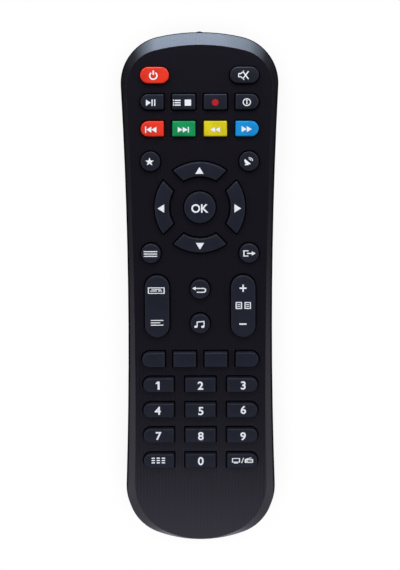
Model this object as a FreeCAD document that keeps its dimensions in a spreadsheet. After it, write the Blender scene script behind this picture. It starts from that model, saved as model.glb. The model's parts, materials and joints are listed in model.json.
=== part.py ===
"""Infrared remote-control handset for a satellite tv receiver.

X points to the right of the handset, Y to its infrared (head) end and Z up, out of the key face.
The handset rests on its back at Z = 0, centred on the origin.  All sizes are in millimetres.
"""
import FreeCAD
import Part
import Sketcher
import math
import os

# ------------------------------------------------------------------------------------------------
# Driving dimensions: one row each of (name, value, meaning)
# ------------------------------------------------------------------------------------------------
DIMENSIONS = [
    # outline at the parting line; its length and width follow from the keys
    ("head_bow", 62.7, "radius of the head end"),
    ("head_corner", 15.5, "radius of the head corners"),
    ("tail_bow", 42.1, "radius of the tail end"),
    ("tail_corner", 16.1, "radius of the tail corners"),
    ("waist_place", -10.0, "Y of the waist"),
    ("side_bow", 1532.0, "radius of the hollow sides"),
    # upper rim of the bevel, before the crowned face trims it
    ("bevel_head", 7.2, "length of the bevel at the head"),
    ("bevel_tail", 2.4, "length of the bevel at the tail"),
    ("bevel_side", 3.2, "width of the bevel at the sides"),
    ("brow_head_bow", 61.7, "radius of the head end of the face"),
    ("brow_head_corner", 10.6, "radius of the head corners of the face"),
    ("brow_tail_bow", 22.2, "radius of the tail end of the face"),
    ("brow_tail_corner", 19.6, "radius of the tail corners of the face"),
    ("brow_place", -62.0, "Y of the narrowest place of the face"),
    ("brow_side_bow", 3490.0, "radius of the sides of the face"),
    # heights
    ("parting", 9.0, "height of the parting line"),
    ("face_thickness", 2.3, "thickness of the face at its highest"),
    ("bevel_drop", 4.1, "top of the face to where the bevel starts"),
    ("crown_radius", 3000.0, "radius of the face along its length"),
    ("trim_margin", 0.6, "bevel carried above the face before trimming"),
    ("belly_start", 15.0, "Y where the belly starts to rise"),
    ("belly_radius", 900.0, "radius of the rising belly"),
    ("belly_edge", 4.5, "edge radius round the belly"),
    ("draft", 0.9, "inward lean of the wall above the parting line"),
    ("low_draft", 1.0, "inward lean of the wall below the parting line"),
    ("seam", 0.25, "edge break at the parting line"),
    ("wall", 1.6, "wall of both shells"),
    ("core_bevel", 1.7, "bevel round the floor inside the bottom shell"),
    ("lip_place", 0.85, "outside of the wall to the bottom shell's lip"),
    ("lip", 0.65, "thickness of the lip that locates the top shell"),
    ("lip_height", 0.7, "height of the lip above the parting line"),
    ("lip_gap", 0.1, "gap between the lip and the top shell"),
    # keys
    ("key_gap", 0.39, "gap between a key and its opening"),
    ("key_proud", 1.5, "height of a key above the face"),
    ("key_edge", 0.35, "edge break round the top of a key"),
    ("key_flange", 0.7, "flange beyond the outline of a key"),
    ("flange_thickness", 1.7, "thickness of a key's flange"),
    ("key_travel", 0.9, "stroke of a key"),
    ("key_reserve", 0.1, "gap left under a pressed key"),
    ("key_reach", 19.18, "centre to the outer edge of the key columns"),
    ("side_land", 1.78, "face left between the key columns and the bevel at the waist"),
    ("pill_key_width", 9.3, "width of the power and mute keys"),
    ("pill_key_height", 5.2, "height of the power and mute keys"),
    ("row_key_height", 5.05, "height of a key in a row of four"),
    ("row_bar", 2.65, "bar of the face between two keys in a row of four"),
    ("digit_height", 4.85, "height of a digit key"),
    ("digit_bar", 3.65, "bar of the face between two digit keys"),
    ("digit_inset", 0.305, "outer edge of the digit keys short of the key columns' edge"),
    ("round_radius", 3.18, "radius of a round key"),
    ("pad_outer", 14.8, "outer radius of the arrow keys"),
    ("pad_inner", 10.0, "inner radius of the arrow keys"),
    ("pad_bar", 3.78, "bar of the face between two arrow openings"),
    ("confirm_radius", 5.15, "radius of the OK key"),
    ("rocker_radius", 4.0, "end radius of a rocker key"),
    ("rocker_length", 20.4, "length of a rocker key"),
    ("rocker_inset", 1.08, "outer edge of the rockers short of the key columns' edge"),
    ("rocker_drop", 0.8, "room between a rocker's flange and the ceiling"),
    ("rocker_plate", 0.7, "thickness of a rocker's flange"),
    ("rocker_rib", 5.0, "width of a rocker's fulcrum"),
    # key rows, each as a step from the row above it
    ("head_margin", 14.8, "head end to the power key"),
    ("media_step", 8.55, "power key to the transport keys"),
    ("colour_step", 8.65, "transport keys to the coloured keys"),
    ("favourite_step", 10.5, "coloured keys to the upper round keys"),
    ("pad_step", 14.9, "round keys to the OK key, above and below it"),
    ("recall_step", 11.7, "lower round keys to the recall key"),
    ("audio_step", 11.3, "recall key to the audio key"),
    ("blank_step", 11.9, "audio key to the blank keys"),
    ("digit_step", 8.4, "blank keys to the first digit row"),
    ("digit_pitch", 8.48, "pitch of the digit rows"),
    ("tail_margin", 28.96, "last digit row to the tail end"),
    # battery bay
    ("cell_radius", 5.25, "radius of an AAA cell"),
    ("cell_length", 44.5, "length of an AAA cell with its nub"),
    ("nub_radius", 1.9, "radius of the positive nub"),
    ("nub_height", 0.8, "height of the positive nub"),
    ("cell_apart", 0.8, "gap between the two cells"),
    ("cell_clear", 0.2, "gap between a cell and what surrounds it"),
    ("bay_wall", 1.2, "wall of the battery tray"),
    ("bay_roof", 1.0, "roof of the battery tray, which carries the board"),
    ("bay_tail", 5.1, "tail end to the outside of the tray's tail wall"),
    ("spring_room", 5.2, "length kept for the negative spring"),
    ("strip", 0.4, "thickness of the contact metal"),
    ("strip_width", 7.0, "width of the contact metal"),
    ("tab_width", 2.6, "width of the tabs that reach the board"),
    ("leaf_width", 4.9, "width of a spring blade"),
    ("leaf_rise", 2.45, "rise of a spring blade's bend above the cell's axis"),
    ("leaf_bend", 0.48, "metal along the tray at a spring blade's bend"),
    ("leaf_tip", 0.6, "metal along the tray at a spring blade's tip"),
    # battery door
    ("door_side", 4.7, "battery tray to the side edge of the door's plate"),
    ("cap_length", 11.0, "length of the door's tail cap"),
    ("door_gap", 0.15, "gap round the door"),
    ("tongue_reach", 0.9, "reach of the door's tongues past its plate"),
    ("tongue", 1.2, "thickness of the door's tongues"),
    ("tongue_gap", 0.15, "gap round a tongue"),
    ("tongue_margin", 4.8, "ends of the side tongues short of the door's ends"),
    ("latch_width", 3.6, "width of the latch tab, which slides out between the cells"),
    ("latch_root", 2.4, "length over which the latch tab grows from the plate"),
    ("grip_place", 4.8, "door's front edge to the first grip groove"),
    ("grip_count", 6, "number of grip grooves"),
    ("grip_pitch", 1.8, "pitch of the grip grooves"),
    ("grip_width", 13.0, "length of a grip groove"),
    ("grip_depth", 0.5, "depth of a grip groove"),
    # board, mat and what holds them
    ("board_thickness", 1.2, "thickness of the circuit board"),
    ("board_gap", 0.35, "gap between the board and the wall"),
    ("board_head", 9.5, "head end to the board's edge"),
    ("board_tail", 8.96, "last digit row to the board's tail edge"),
    ("board_corner", 9.0, "corner cut of the board"),
    ("mat_thickness", 1.0, "thickness of the keypad mat"),
    ("mat_gap", 0.3, "gap round a key base in the mat"),
    ("rib", 0.8, "thickness of the ribs under the face"),
    ("last_rib", 4.66, "last digit row to the rib behind it"),
    ("post_radius", 2.0, "radius of a board post"),
    ("post_place", 17.6, "X of the board posts"),
    ("boss_radius", 2.1, "radius of the screw boss under the face"),
    ("screw_radius", 1.1, "radius of the screw's shank"),
    ("screw_clear", 0.15, "gap round the shank in the bottom shell"),
    ("screw_head", 2.1, "radius of the screw's head"),
    ("screw_head_height", 1.5, "height of the screw's head"),
    ("screw_length", 9.5, "length of the screw's shank"),
    ("screw_seat", 6.5, "height of the ledge that the screw's head bears on"),
    ("screw_margin", 0.5, "screw's head to the door's front edge"),
    ("pilot_rest", 0.4, "pilot hole beyond the screw's tip"),
    ("sleeve_radius", 3.4, "radius of the screw sleeve in the bottom shell"),
    ("thread_gap", 0.02, "gap between the screw and its pilot hole"),
    # infrared LED
    ("led_radius", 2.5, "radius of the LED"),
    ("led_rim", 2.9, "radius of the LED's rim"),
    ("led_rim_length", 1.0, "length of the LED's rim"),
    ("led_length", 6.0, "length of the LED from rim to dome"),
    ("led_rise", 3.3, "parting line to the LED's axis"),
    ("cradle_place", 2.5, "board's head edge to the ledge under the LED"),
    ("led_setback", 0.1, "tip of the LED short of the head end"),
    ("led_gap", 0.15, "gap round the LED in the wall"),
    ("lead_radius", 0.25, "radius of a component lead"),
    ("lead_pitch", 2.54, "distance between two leads"),
    # parts under the board
    ("chip_length", 12.8, "length of the controller chip"),
    ("chip_width", 7.5, "width of the controller chip"),
    ("chip_height", 2.3, "height of the controller chip"),
    ("chip_row", 57.0, "head end to the controller chip"),
    ("pin_pitch", 1.27, "pitch of the chip's pins"),
    ("pin_count", 10, "pins on each side of the chip"),
    ("pin_reach", 1.4, "reach of a pin beside the chip"),
    ("resonator_gap", 5.5, "controller chip to the resonator"),
    ("resonator_width", 7.4, "width of the resonator"),
    ("resonator_depth", 3.2, "depth of the resonator"),
    ("resonator_height", 5.5, "height of the resonator"),
    ("capacitor_row", 30.0, "head end to the capacitor"),
    ("capacitor_radius", 2.5, "radius of the capacitor"),
    ("capacitor_height", 7.0, "height of the capacitor"),
    ("transistor_row", 19.0, "head end to the transistor"),
    ("transistor_radius", 2.3, "radius of the transistor's case"),
    ("transistor_flat", 1.3, "axis of the transistor's case to its flat"),
    ("transistor_height", 4.7, "height of the transistor's case"),
    ("resistor_row", 38.0, "head end to the first resistor"),
    ("resistor_pitch", 4.0, "pitch of the resistors"),
    ("resistor_radius", 0.9, "radius of a resistor"),
    ("resistor_length", 6.0, "length of a resistor"),
]


# ------------------------------------------------------------------------------------------------
# Sheet and lengths
# ------------------------------------------------------------------------------------------------
class Length:
    """A size that carries its value together with the expression that binds it to the sheet."""

    def __init__(self, value, text):
        self.value = value
        self.text = text

    def join(self, sign, other, value):
        return Length(value, f"({self.text} {sign} {as_length(other).text})")

    def __add__(self, other):
        return self.join("+", other, self.value + as_length(other).value)

    def __sub__(self, other):
        return self.join("-", other, self.value - as_length(other).value)

    def __mul__(self, other):
        return self.join("*", other, self.value * as_length(other).value)

    def __truediv__(self, other):
        return self.join("/", other, self.value / as_length(other).value)

    def __neg__(self):
        return Length(-self.value, f"(0 - {self.text})")


def as_length(number):
    """A plain number as a Length; a Length stays as it is."""
    return number if isinstance(number, Length) else Length(float(number), repr(number))


def root(square):
    return Length(math.sqrt(square.value), f"sqrt({square.text})")


class Sizes:
    """The sheet's cells as Lengths, by name."""

    def __init__(self, names):
        for name, value, meaning in names:
            setattr(self, name, Length(float(value), f"Sheet.{name}"))


def fill_sheet(document):
    sheet = document.addObject("Spreadsheet::Sheet", "Sheet")
    for row, (name, value, meaning) in enumerate(DIMENSIONS, start=1):
        sheet.set(f"A{row}", name)
        sheet.set(f"B{row}", str(value))
        sheet.set(f"C{row}", meaning)
        sheet.setAlias(f"B{row}", name)
    document.recompute()


doc = FreeCAD.newDocument("remote_handset")
fill_sheet(doc)
S = Sizes(DIMENSIONS)
ZERO = as_length(0)
UP = FreeCAD.Vector(0, 0, 1)

# key columns and rows, as distances from the middle and from the head end
ROW_KEY_WIDTH = (S.key_reach * 2 - S.row_bar * 3) / 4
DIGIT_WIDTH = ((S.key_reach - S.digit_inset) * 2 - S.digit_bar * 2) / 3
ROCKER_PLACE = S.key_reach - S.rocker_inset - S.rocker_radius
ROUND_PLACE = S.key_reach - S.round_radius
MEDIA_ROW = S.head_margin + S.media_step
COLOUR_ROW = MEDIA_ROW + S.colour_step
FAVOURITE_ROW = COLOUR_ROW + S.favourite_step
PAD_ROW = FAVOURITE_ROW + S.pad_step
MENU_ROW = PAD_ROW + S.pad_step
RECALL_ROW = MENU_ROW + S.recall_step
AUDIO_ROW = RECALL_ROW + S.audio_step
BLANK_ROW = AUDIO_ROW + S.blank_step
DIGIT_ROWS = [BLANK_ROW + S.digit_step + S.digit_pitch * number for number in range(4)]
HALF_LENGTH = (DIGIT_ROWS[-1] + S.tail_margin) / 2
WAIST = S.key_reach + S.side_land + S.bevel_side
FAR = HALF_LENGTH * 2

# heights, stacked from the battery tray up to the face
CELL_HEIGHT = S.wall + S.cell_clear + S.cell_radius
BAY_ROOF = CELL_HEIGHT + S.cell_radius + S.cell_clear
BOARD_UNDER = BAY_ROOF + S.bay_roof
BOARD_TOP = BOARD_UNDER + S.board_thickness
MAT_TOP = BOARD_TOP + S.mat_thickness
KEY_BASE = BOARD_TOP + S.key_travel + S.key_reserve
CEILING = KEY_BASE + S.flange_thickness
FACE = CEILING + S.face_thickness
SHOULDER = FACE - S.bevel_drop
LED_HEIGHT = S.parting + S.led_rise
DECK_UNDER = S.wall + S.tongue + S.tongue_gap * 2
DECK_TOP = DECK_UNDER + S.bay_wall

# places of the screw, the battery bay, the door and the board
SCREW_PLACE = HALF_LENGTH - (AUDIO_ROW + S.round_radius + BLANK_ROW - S.row_key_height / 2) / 2
CELL_PITCH = S.cell_radius * 2 + S.cell_apart
BAY_INNER = CELL_PITCH / 2 + S.cell_radius + S.cell_clear
BAY_OUTER = BAY_INNER + S.bay_wall
TRAY_TAIL = S.bay_tail - HALF_LENGTH
BAY_BACK = TRAY_TAIL + S.bay_wall
BAY_FRONT = BAY_BACK + S.cell_length + S.spring_room + S.strip * 2
DOOR_HALF = BAY_OUTER + S.door_side
DOOR_FRONT = SCREW_PLACE + S.screw_head + S.screw_margin
CAP_FRONT = S.cap_length - HALF_LENGTH
DECK_FRONT = DOOR_FRONT + S.tongue_reach + S.tongue_gap + S.bay_wall
BOARD_HALF = WAIST - S.wall - S.draft - S.board_gap
BOARD_TAIL = HALF_LENGTH - DIGIT_ROWS[-1] - S.board_tail
BOARD_HEAD = HALF_LENGTH - S.board_head


# ------------------------------------------------------------------------------------------------
# Sketching
# ------------------------------------------------------------------------------------------------
def new_body(name):
    body = doc.addObject("PartDesign::Body", name)
    body.Label = name
    return body


def new_sketch(body, name, role="XY_Plane", offset=ZERO):
    """An empty sketch on one of the body's own origin planes, moved along the plane's normal."""
    plane = next(feature for feature in body.Origin.OriginFeatures if feature.Role == role)
    sketch = body.newObject("Sketcher::SketchObject", name)
    sketch.AttachmentSupport = (plane, [""])
    sketch.MapMode = "FlatFace"
    sketch.setExpression(".AttachmentOffset.Base.z", offset.text)
    return sketch


def bind(sketch, kind, *references, size):
    """A dimensional constraint whose value follows the sheet."""
    index = sketch.addConstraint(Sketcher.Constraint(kind, *references, size.value))
    sketch.setExpression(f"Constraints[{index}]", size.text)


def tie(sketch, kind, *references):
    sketch.addConstraint(Sketcher.Constraint(kind, *references))


def fix_point(sketch, geometry, position, x, y):
    """Hold a point at x, y from the sketch's origin."""
    for kind, axis, size in (("DistanceX", -2, x), ("DistanceY", -1, y)):
        if size.value == 0:
            tie(sketch, "PointOnObject", geometry, position, axis)
        else:
            bind(sketch, kind, -1, 1, geometry, position, size=size)


def draw_polygon(sketch, corners):
    """A closed polygon through corners given as pairs of Lengths."""
    points = [FreeCAD.Vector(x.value, y.value, 0) for x, y in corners]
    first = sketch.GeometryCount
    count = len(points)
    for index in range(count):
        sketch.addGeometry(Part.LineSegment(points[index], points[(index + 1) % count]), False)
    for index in range(count):
        tie(sketch, "Coincident", first + index, 2, first + (index + 1) % count, 1)
        fix_point(sketch, first + index, 1, *corners[index])


def rectangle(left, right, low, high):
    return [(left, low), (right, low), (right, high), (left, high)]


def draw_circle(sketch, radius, x=ZERO, y=ZERO):
    centre = FreeCAD.Vector(x.value, y.value, 0)
    index = sketch.addGeometry(Part.Circle(centre, UP, radius.value), False)
    bind(sketch, "Radius", index, size=radius)
    fix_point(sketch, index, 3, x, y)


def arc(centre, radius, start, end):
    return Part.ArcOfCircle(Part.Circle(centre, UP, radius), start, end)


# ------------------------------------------------------------------------------------------------
# Solids
# ------------------------------------------------------------------------------------------------
def extrude(body, kind, sketch, length, both_ways=False, reverse=False):
    """A Pad or a Pocket of a sketch."""
    feature = body.newObject(f"PartDesign::{kind}", f"{sketch.Name}_{kind.lower()}")
    feature.Profile = sketch
    feature.Length = length.value
    feature.setExpression("Length", length.text)
    if both_ways:
        feature.SideType = "Symmetric"
    feature.Reversed = reverse
    return feature


def revolve(body, sketch, axis):
    feature = body.newObject("PartDesign::Revolution", f"{sketch.Name}_turn")
    feature.Profile = sketch
    feature.ReferenceAxis = (sketch, [axis])
    feature.Angle = 360
    return feature


def place(thing, x=ZERO, y=ZERO, z=ZERO, turn=0):
    """Bind an object's place to the sheet, after a turn about Z in degrees."""
    thing.Placement = FreeCAD.Placement(FreeCAD.Vector(), FreeCAD.Rotation(UP, turn))
    for axis, size in zip("xyz", (x, y, z)):
        thing.setExpression(f"Placement.Base.{axis}", size.text)
    return thing


def block(name, left, right, low, high, bottom, top):
    """A box between two limits on each axis."""
    box = doc.addObject("Part::Box", name)
    for side, size in (("Length", right - left), ("Width", high - low), ("Height", top - bottom)):
        box.setExpression(side, size.text)
    return place(box, left, low, bottom)


def rod(name, radius, x, y, bottom, top):
    """An upright cylinder."""
    cylinder = doc.addObject("Part::Cylinder", name)
    cylinder.setExpression("Radius", radius.text)
    cylinder.setExpression("Height", (top - bottom).text)
    return place(cylinder, x, y, bottom)


def cut(name, base, tool):
    result = doc.addObject("Part::Cut", name)
    result.Base = base
    result.Tool = tool
    return result


def fuse(name, pieces):
    result = doc.addObject("Part::MultiFuse", name)
    result.Shapes = pieces
    return result


def common(name, pieces):
    result = doc.addObject("Part::MultiCommon", name)
    result.Shapes = pieces
    return result


def bundle(name, pieces):
    """Separate solids held as one object."""
    result = doc.addObject("Part::Compound", name)
    result.Links = pieces
    return result


# ------------------------------------------------------------------------------------------------
# Housing: two tangent-arc outlines lofted into a waisted form
# ------------------------------------------------------------------------------------------------
class Outline:
    """A closed outline of eight tangent arcs: head, corners, hollow sides, corners, tail."""

    def __init__(self, head, tail, head_bow, head_corner, tail_bow, tail_corner, waist, place, bow):
        self.head = head
        self.tail = tail
        self.head_bow = head_bow
        self.head_corner = head_corner
        self.tail_bow = tail_bow
        self.tail_corner = tail_corner
        self.waist = waist
        self.place = place
        self.side_bow = bow


RIM = Outline(HALF_LENGTH, HALF_LENGTH, S.head_bow, S.head_corner, S.tail_bow, S.tail_corner,
              WAIST, S.waist_place, S.side_bow)
BROW = Outline(HALF_LENGTH - S.bevel_head, HALF_LENGTH - S.bevel_tail, S.brow_head_bow,
               S.brow_head_corner, S.brow_tail_bow, S.brow_tail_corner,
               WAIST - S.bevel_side, S.brow_place, S.brow_side_bow)


def corner_centre(end_centre, end_radius, side_centre, side_radius, sign):
    """Centre of a corner arc inside the end arc and outside the side arc."""
    reach = side_centre - end_centre
    span = reach.Length
    along = (end_radius ** 2 - side_radius ** 2 + span ** 2) / (2 * span)
    across = math.sqrt(end_radius ** 2 - along ** 2)
    direction = reach.normalize()
    sideways = FreeCAD.Vector(-direction.y, direction.x, 0) * sign
    return end_centre + direction * along + sideways * across


def angle_of(vector):
    return math.atan2(vector.y, vector.x)


def draw_outline(sketch, outline, inset):
    """The outline moved inwards by inset, its radii and centres bound to the sheet."""
    head_radius = outline.head_bow - inset
    head_corner = outline.head_corner - inset
    tail_radius = outline.tail_bow - inset
    tail_corner = outline.tail_corner - inset
    side_radius = outline.side_bow + inset
    head_middle = outline.head - outline.head_bow
    tail_middle = outline.tail_bow - outline.tail
    side_middle = outline.waist + outline.side_bow

    head = FreeCAD.Vector(0, head_middle.value, 0)
    tail = FreeCAD.Vector(0, tail_middle.value, 0)
    side = FreeCAD.Vector(side_middle.value, outline.place.value, 0)
    upper = corner_centre(head, head_radius.value - head_corner.value,
                          side, side_radius.value + head_corner.value, 1)
    lower = corner_centre(tail, tail_radius.value - tail_corner.value,
                          side, side_radius.value + tail_corner.value, -1)
    head_turn = angle_of(upper - head)
    upper_turn = angle_of(side - upper)
    lower_turn = angle_of(side - lower)
    tail_turn = angle_of(lower - tail)
    half = math.pi

    def mirrored(point):
        return FreeCAD.Vector(-point.x, point.y, 0)

    arcs = [
        arc(head, head_radius.value, head_turn, half - head_turn),
        arc(mirrored(upper), head_corner.value, half - head_turn, half - upper_turn),
        arc(mirrored(side), side_radius.value, -lower_turn, -upper_turn),
        arc(mirrored(lower), tail_corner.value, half - lower_turn, half - tail_turn),
        arc(tail, tail_radius.value, half - tail_turn, 2 * half + tail_turn),
        arc(lower, tail_corner.value, tail_turn, lower_turn),
        arc(side, side_radius.value, half + upper_turn, half + lower_turn),
        arc(upper, head_corner.value, upper_turn, head_turn),
    ]
    for piece in arcs:
        sketch.addGeometry(piece, False)
    joints = [(0, 2, 1, 1), (1, 2, 2, 2), (2, 1, 3, 1), (3, 2, 4, 1),
              (4, 2, 5, 1), (5, 2, 6, 2), (6, 1, 7, 1), (7, 2, 0, 1)]
    for joint in joints:
        tie(sketch, "Tangent", *joint)
    for pair in ((1, 7), (3, 5), (2, 6)):
        tie(sketch, "Equal", *pair)
    for index, radius in enumerate((head_radius, head_corner, side_radius, tail_corner, tail_radius)):
        bind(sketch, "Radius", index, size=radius)
    fix_point(sketch, 0, 3, ZERO, head_middle)
    fix_point(sketch, 4, 3, ZERO, tail_middle)
    fix_point(sketch, 2, 3, -side_middle, outline.place)
    fix_point(sketch, 6, 3, side_middle, outline.place)


def loft_housing(body, sections):
    """A ruled loft through outlines given as (height, outline, inset)."""
    sketches = []
    for number, (height, outline, inset) in enumerate(sections):
        sketch = new_sketch(body, f"{body.Name}_section_{number}", offset=height)
        draw_outline(sketch, outline, inset)
        sketches.append(sketch)
    loft = body.newObject("PartDesign::AdditiveLoft", f"{body.Name}_loft")
    loft.Profile = sketches[0]
    loft.Sections = sketches[1:]
    loft.Ruled = True


def trim_crown(body):
    """Take away what stands above the crowned face."""
    sketch = new_sketch(body, f"{body.Name}_crown", "YZ_Plane")
    middle = FACE - S.crown_radius
    radius = S.crown_radius.value
    turn = math.asin(FAR.value / radius)
    ends = [middle.value + radius * math.cos(turn), FACE.value + FAR.value]
    sketch.addGeometry(arc(FreeCAD.Vector(0, middle.value, 0), radius,
                           math.pi / 2 - turn, math.pi / 2 + turn), False)
    corners = [FreeCAD.Vector(-FAR.value, ends[0], 0), FreeCAD.Vector(-FAR.value, ends[1], 0),
               FreeCAD.Vector(FAR.value, ends[1], 0), FreeCAD.Vector(FAR.value, ends[0], 0)]
    for start, end in zip(corners, corners[1:]):
        sketch.addGeometry(Part.LineSegment(start, end), False)
    for joint in ((0, 2, 1, 1), (1, 2, 2, 1), (2, 2, 3, 1), (3, 2, 0, 1)):
        tie(sketch, "Coincident", *joint)
    fix_point(sketch, 0, 3, ZERO, middle)
    bind(sketch, "Radius", 0, size=S.crown_radius)
    tie(sketch, "Vertical", 1)
    tie(sketch, "Vertical", 3)
    fix_point(sketch, 2, 1, -FAR, FACE + FAR)
    fix_point(sketch, 2, 2, FAR, FACE + FAR)
    extrude(body, "Pocket", sketch, FAR, both_ways=True)


def trim_belly(body, inset):
    """Lift the floor at this inset on an arc that rises towards the head."""
    sketch = new_sketch(body, f"{body.Name}_belly", "YZ_Plane")
    radius = (S.belly_radius - inset).value
    centre = FreeCAD.Vector(S.belly_start.value, S.belly_radius.value, 0)
    turn = math.asin((FAR.value - centre.x) / radius)
    rise = centre.y - radius * math.cos(turn)
    sketch.addGeometry(arc(centre, radius, -math.pi / 2, turn - math.pi / 2), False)
    corners = [FreeCAD.Vector(FAR.value, rise, 0), FreeCAD.Vector(FAR.value, -FAR.value, 0),
               FreeCAD.Vector(centre.x, -FAR.value, 0), FreeCAD.Vector(centre.x, inset.value, 0)]
    for begin, end in zip(corners, corners[1:]):
        sketch.addGeometry(Part.LineSegment(begin, end), False)
    for joint in ((0, 2, 1, 1), (1, 2, 2, 1), (2, 2, 3, 1), (3, 2, 0, 1)):
        tie(sketch, "Coincident", *joint)
    fix_point(sketch, 0, 3, S.belly_start, S.belly_radius)
    bind(sketch, "Radius", 0, size=S.belly_radius - inset)
    tie(sketch, "Vertical", 1)
    tie(sketch, "Vertical", 3)
    fix_point(sketch, 2, 1, FAR, -FAR)
    fix_point(sketch, 2, 2, S.belly_start, -FAR)
    extrude(body, "Pocket", sketch, FAR, both_ways=True)


def round_belly(body, radius):
    """Round the edge between the flat floor of a new loft and its side walls."""
    doc.recompute()
    base = body.Tip
    floor = min(base.Shape.Faces, key=lambda face: face.CenterOfMass.z)
    edges = [f"Edge{number}" for number, edge in enumerate(base.Shape.Edges, start=1)
             if any(edge.isSame(rim) for rim in floor.Edges)]
    fillet = body.newObject("PartDesign::Fillet", f"{body.Name}_round")
    fillet.Base = (base, edges)
    fillet.setExpression("Radius", radius.text)


def upper_form():
    """The solid form of the top shell."""
    body = new_body("upper_form")
    loft_housing(body, [
        (S.parting, RIM, S.seam),
        (S.parting + S.seam, RIM, ZERO),
        (SHOULDER, RIM, S.draft),
        (FACE + S.trim_margin, BROW, ZERO),
    ])
    trim_crown(body)
    return body


def lower_form():
    """The solid form of the bottom shell and the battery door together."""
    body = new_body("lower_form")
    loft_housing(body, [
        (ZERO, RIM, S.low_draft),
        (S.parting - S.seam, RIM, ZERO),
        (S.parting, RIM, S.seam),
    ])
    round_belly(body, S.belly_edge)
    trim_belly(body, ZERO)
    return body


def core_form():
    """The hollow inside both shells, one wall in from the outside."""
    body = new_body("core_form")
    loft_housing(body, [
        (S.wall, RIM, S.low_draft + S.wall + S.core_bevel),
        (S.wall + S.core_bevel, RIM, S.low_draft + S.wall),
        (S.parting, RIM, S.wall),
        (SHOULDER, RIM, S.draft + S.wall),
        (FACE + S.trim_margin, BROW, S.wall),
    ])
    trim_belly(body, S.wall)
    above = new_sketch(body, "core_ceiling", offset=CEILING)
    draw_polygon(above, rectangle(-FAR, FAR, -FAR, FAR))
    extrude(body, "Pocket", above, FAR, reverse=True)
    return body


def rim_plug(name, inset, bottom, top):
    """An upright block inside the outline at the parting line, moved inwards by inset."""
    body = new_body(name)
    sketch = new_sketch(body, f"{name}_outline", offset=bottom)
    draw_outline(sketch, RIM, inset)
    extrude(body, "Pad", sketch, top - bottom)
    return body


def lap_ring(name, outer, inner, bottom, top):
    """A ring along the parting line between two insets, from the door's cap to the head."""
    ring = cut(f"{name}_ring", rim_plug(f"{name}_outer", outer, bottom, top),
               rim_plug(f"{name}_inner", inner, bottom - S.seam, top + S.seam))
    span = block(f"{name}_span", -FAR, FAR, CAP_FRONT, FAR, bottom - S.seam, top + S.seam)
    return common(name, [ring, span])


# ------------------------------------------------------------------------------------------------
# Keys
# ------------------------------------------------------------------------------------------------
class Key:
    """One key: its outline, its size, the middle of it on the face and its turn about Z."""

    def __init__(self, name, outline, width, height, x, row, turn=0):
        self.name = name
        self.outline = outline
        self.width = width
        self.height = height
        self.x = x
        self.y = HALF_LENGTH - row
        self.turn = turn

    def top(self):
        """Height of the key's top, which follows the crowned face."""
        return FACE - self.y * self.y / (S.crown_radius * 2) + S.key_proud


def pill_key(name, side):
    x = (S.key_reach - S.pill_key_width / 2) * side
    return Key(name, "pill", S.pill_key_width, S.pill_key_height, x, S.head_margin)


def round_key(name, x, row, radius=S.round_radius):
    return Key(name, "disc", radius * 2, radius * 2, x, row)


def arrow_key(name, turn):
    return Key(name, "arrow", S.pad_outer * 2, S.pad_outer * 2, ZERO, PAD_ROW, turn)


def rocker_key(name, x):
    """A long key beside the recall and audio keys, halfway between them."""
    return Key(name, "rocker", S.rocker_length, S.rocker_radius * 2, x,
               RECALL_ROW + S.audio_step / 2, 90)


def row_of_four(names, row):
    """Two square keys between a key with a round left end and one with a round right end."""
    keys = []
    outlines = ["dome", "block", "block", "dome"]
    turns = [180, 0, 0, 0]
    half_steps = [-3, -1, 1, 3]
    for name, outline, turn, half_step in zip(names, outlines, turns, half_steps):
        x = (ROW_KEY_WIDTH + S.row_bar) / 2 * half_step
        keys.append(Key(name, outline, ROW_KEY_WIDTH, S.row_key_height, x, row, turn))
    return keys


def row_of_three(names, row):
    """A square key between a key with a round left end and one with a round right end."""
    keys = []
    outlines = ["dome", "block", "dome"]
    turns = [180, 0, 0]
    steps = [-1, 0, 1]
    for name, outline, turn, step in zip(names, outlines, turns, steps):
        x = (DIGIT_WIDTH + S.digit_bar) * step
        keys.append(Key(name, outline, DIGIT_WIDTH, S.digit_height, x, row, turn))
    return keys


KEYS = [
    pill_key("key_power", -1),
    pill_key("key_mute", 1),
    *row_of_four(["key_play", "key_stop", "key_record", "key_info"], MEDIA_ROW),
    *row_of_four(["key_red", "key_green", "key_yellow", "key_blue"], COLOUR_ROW),
    round_key("key_favourite", -ROUND_PLACE, FAVOURITE_ROW),
    round_key("key_satellite", ROUND_PLACE, FAVOURITE_ROW),
    arrow_key("key_up", 0),
    arrow_key("key_left", 90),
    arrow_key("key_down", 180),
    arrow_key("key_right", 270),
    round_key("key_ok", ZERO, PAD_ROW, S.confirm_radius),
    round_key("key_menu", -ROUND_PLACE, MENU_ROW),
    round_key("key_exit", ROUND_PLACE, MENU_ROW),
    rocker_key("rocker_text", -ROCKER_PLACE),
    rocker_key("rocker_page", ROCKER_PLACE),
    round_key("key_recall", ZERO, RECALL_ROW),
    round_key("key_audio", ZERO, AUDIO_ROW),
    *row_of_four(["key_blank_1", "key_blank_2", "key_blank_3", "key_blank_4"], BLANK_ROW),
    *row_of_three(["key_1", "key_2", "key_3"], DIGIT_ROWS[0]),
    *row_of_three(["key_4", "key_5", "key_6"], DIGIT_ROWS[1]),
    *row_of_three(["key_7", "key_8", "key_9"], DIGIT_ROWS[2]),
    *row_of_three(["key_guide", "key_0", "key_tv"], DIGIT_ROWS[3]),
]


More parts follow.
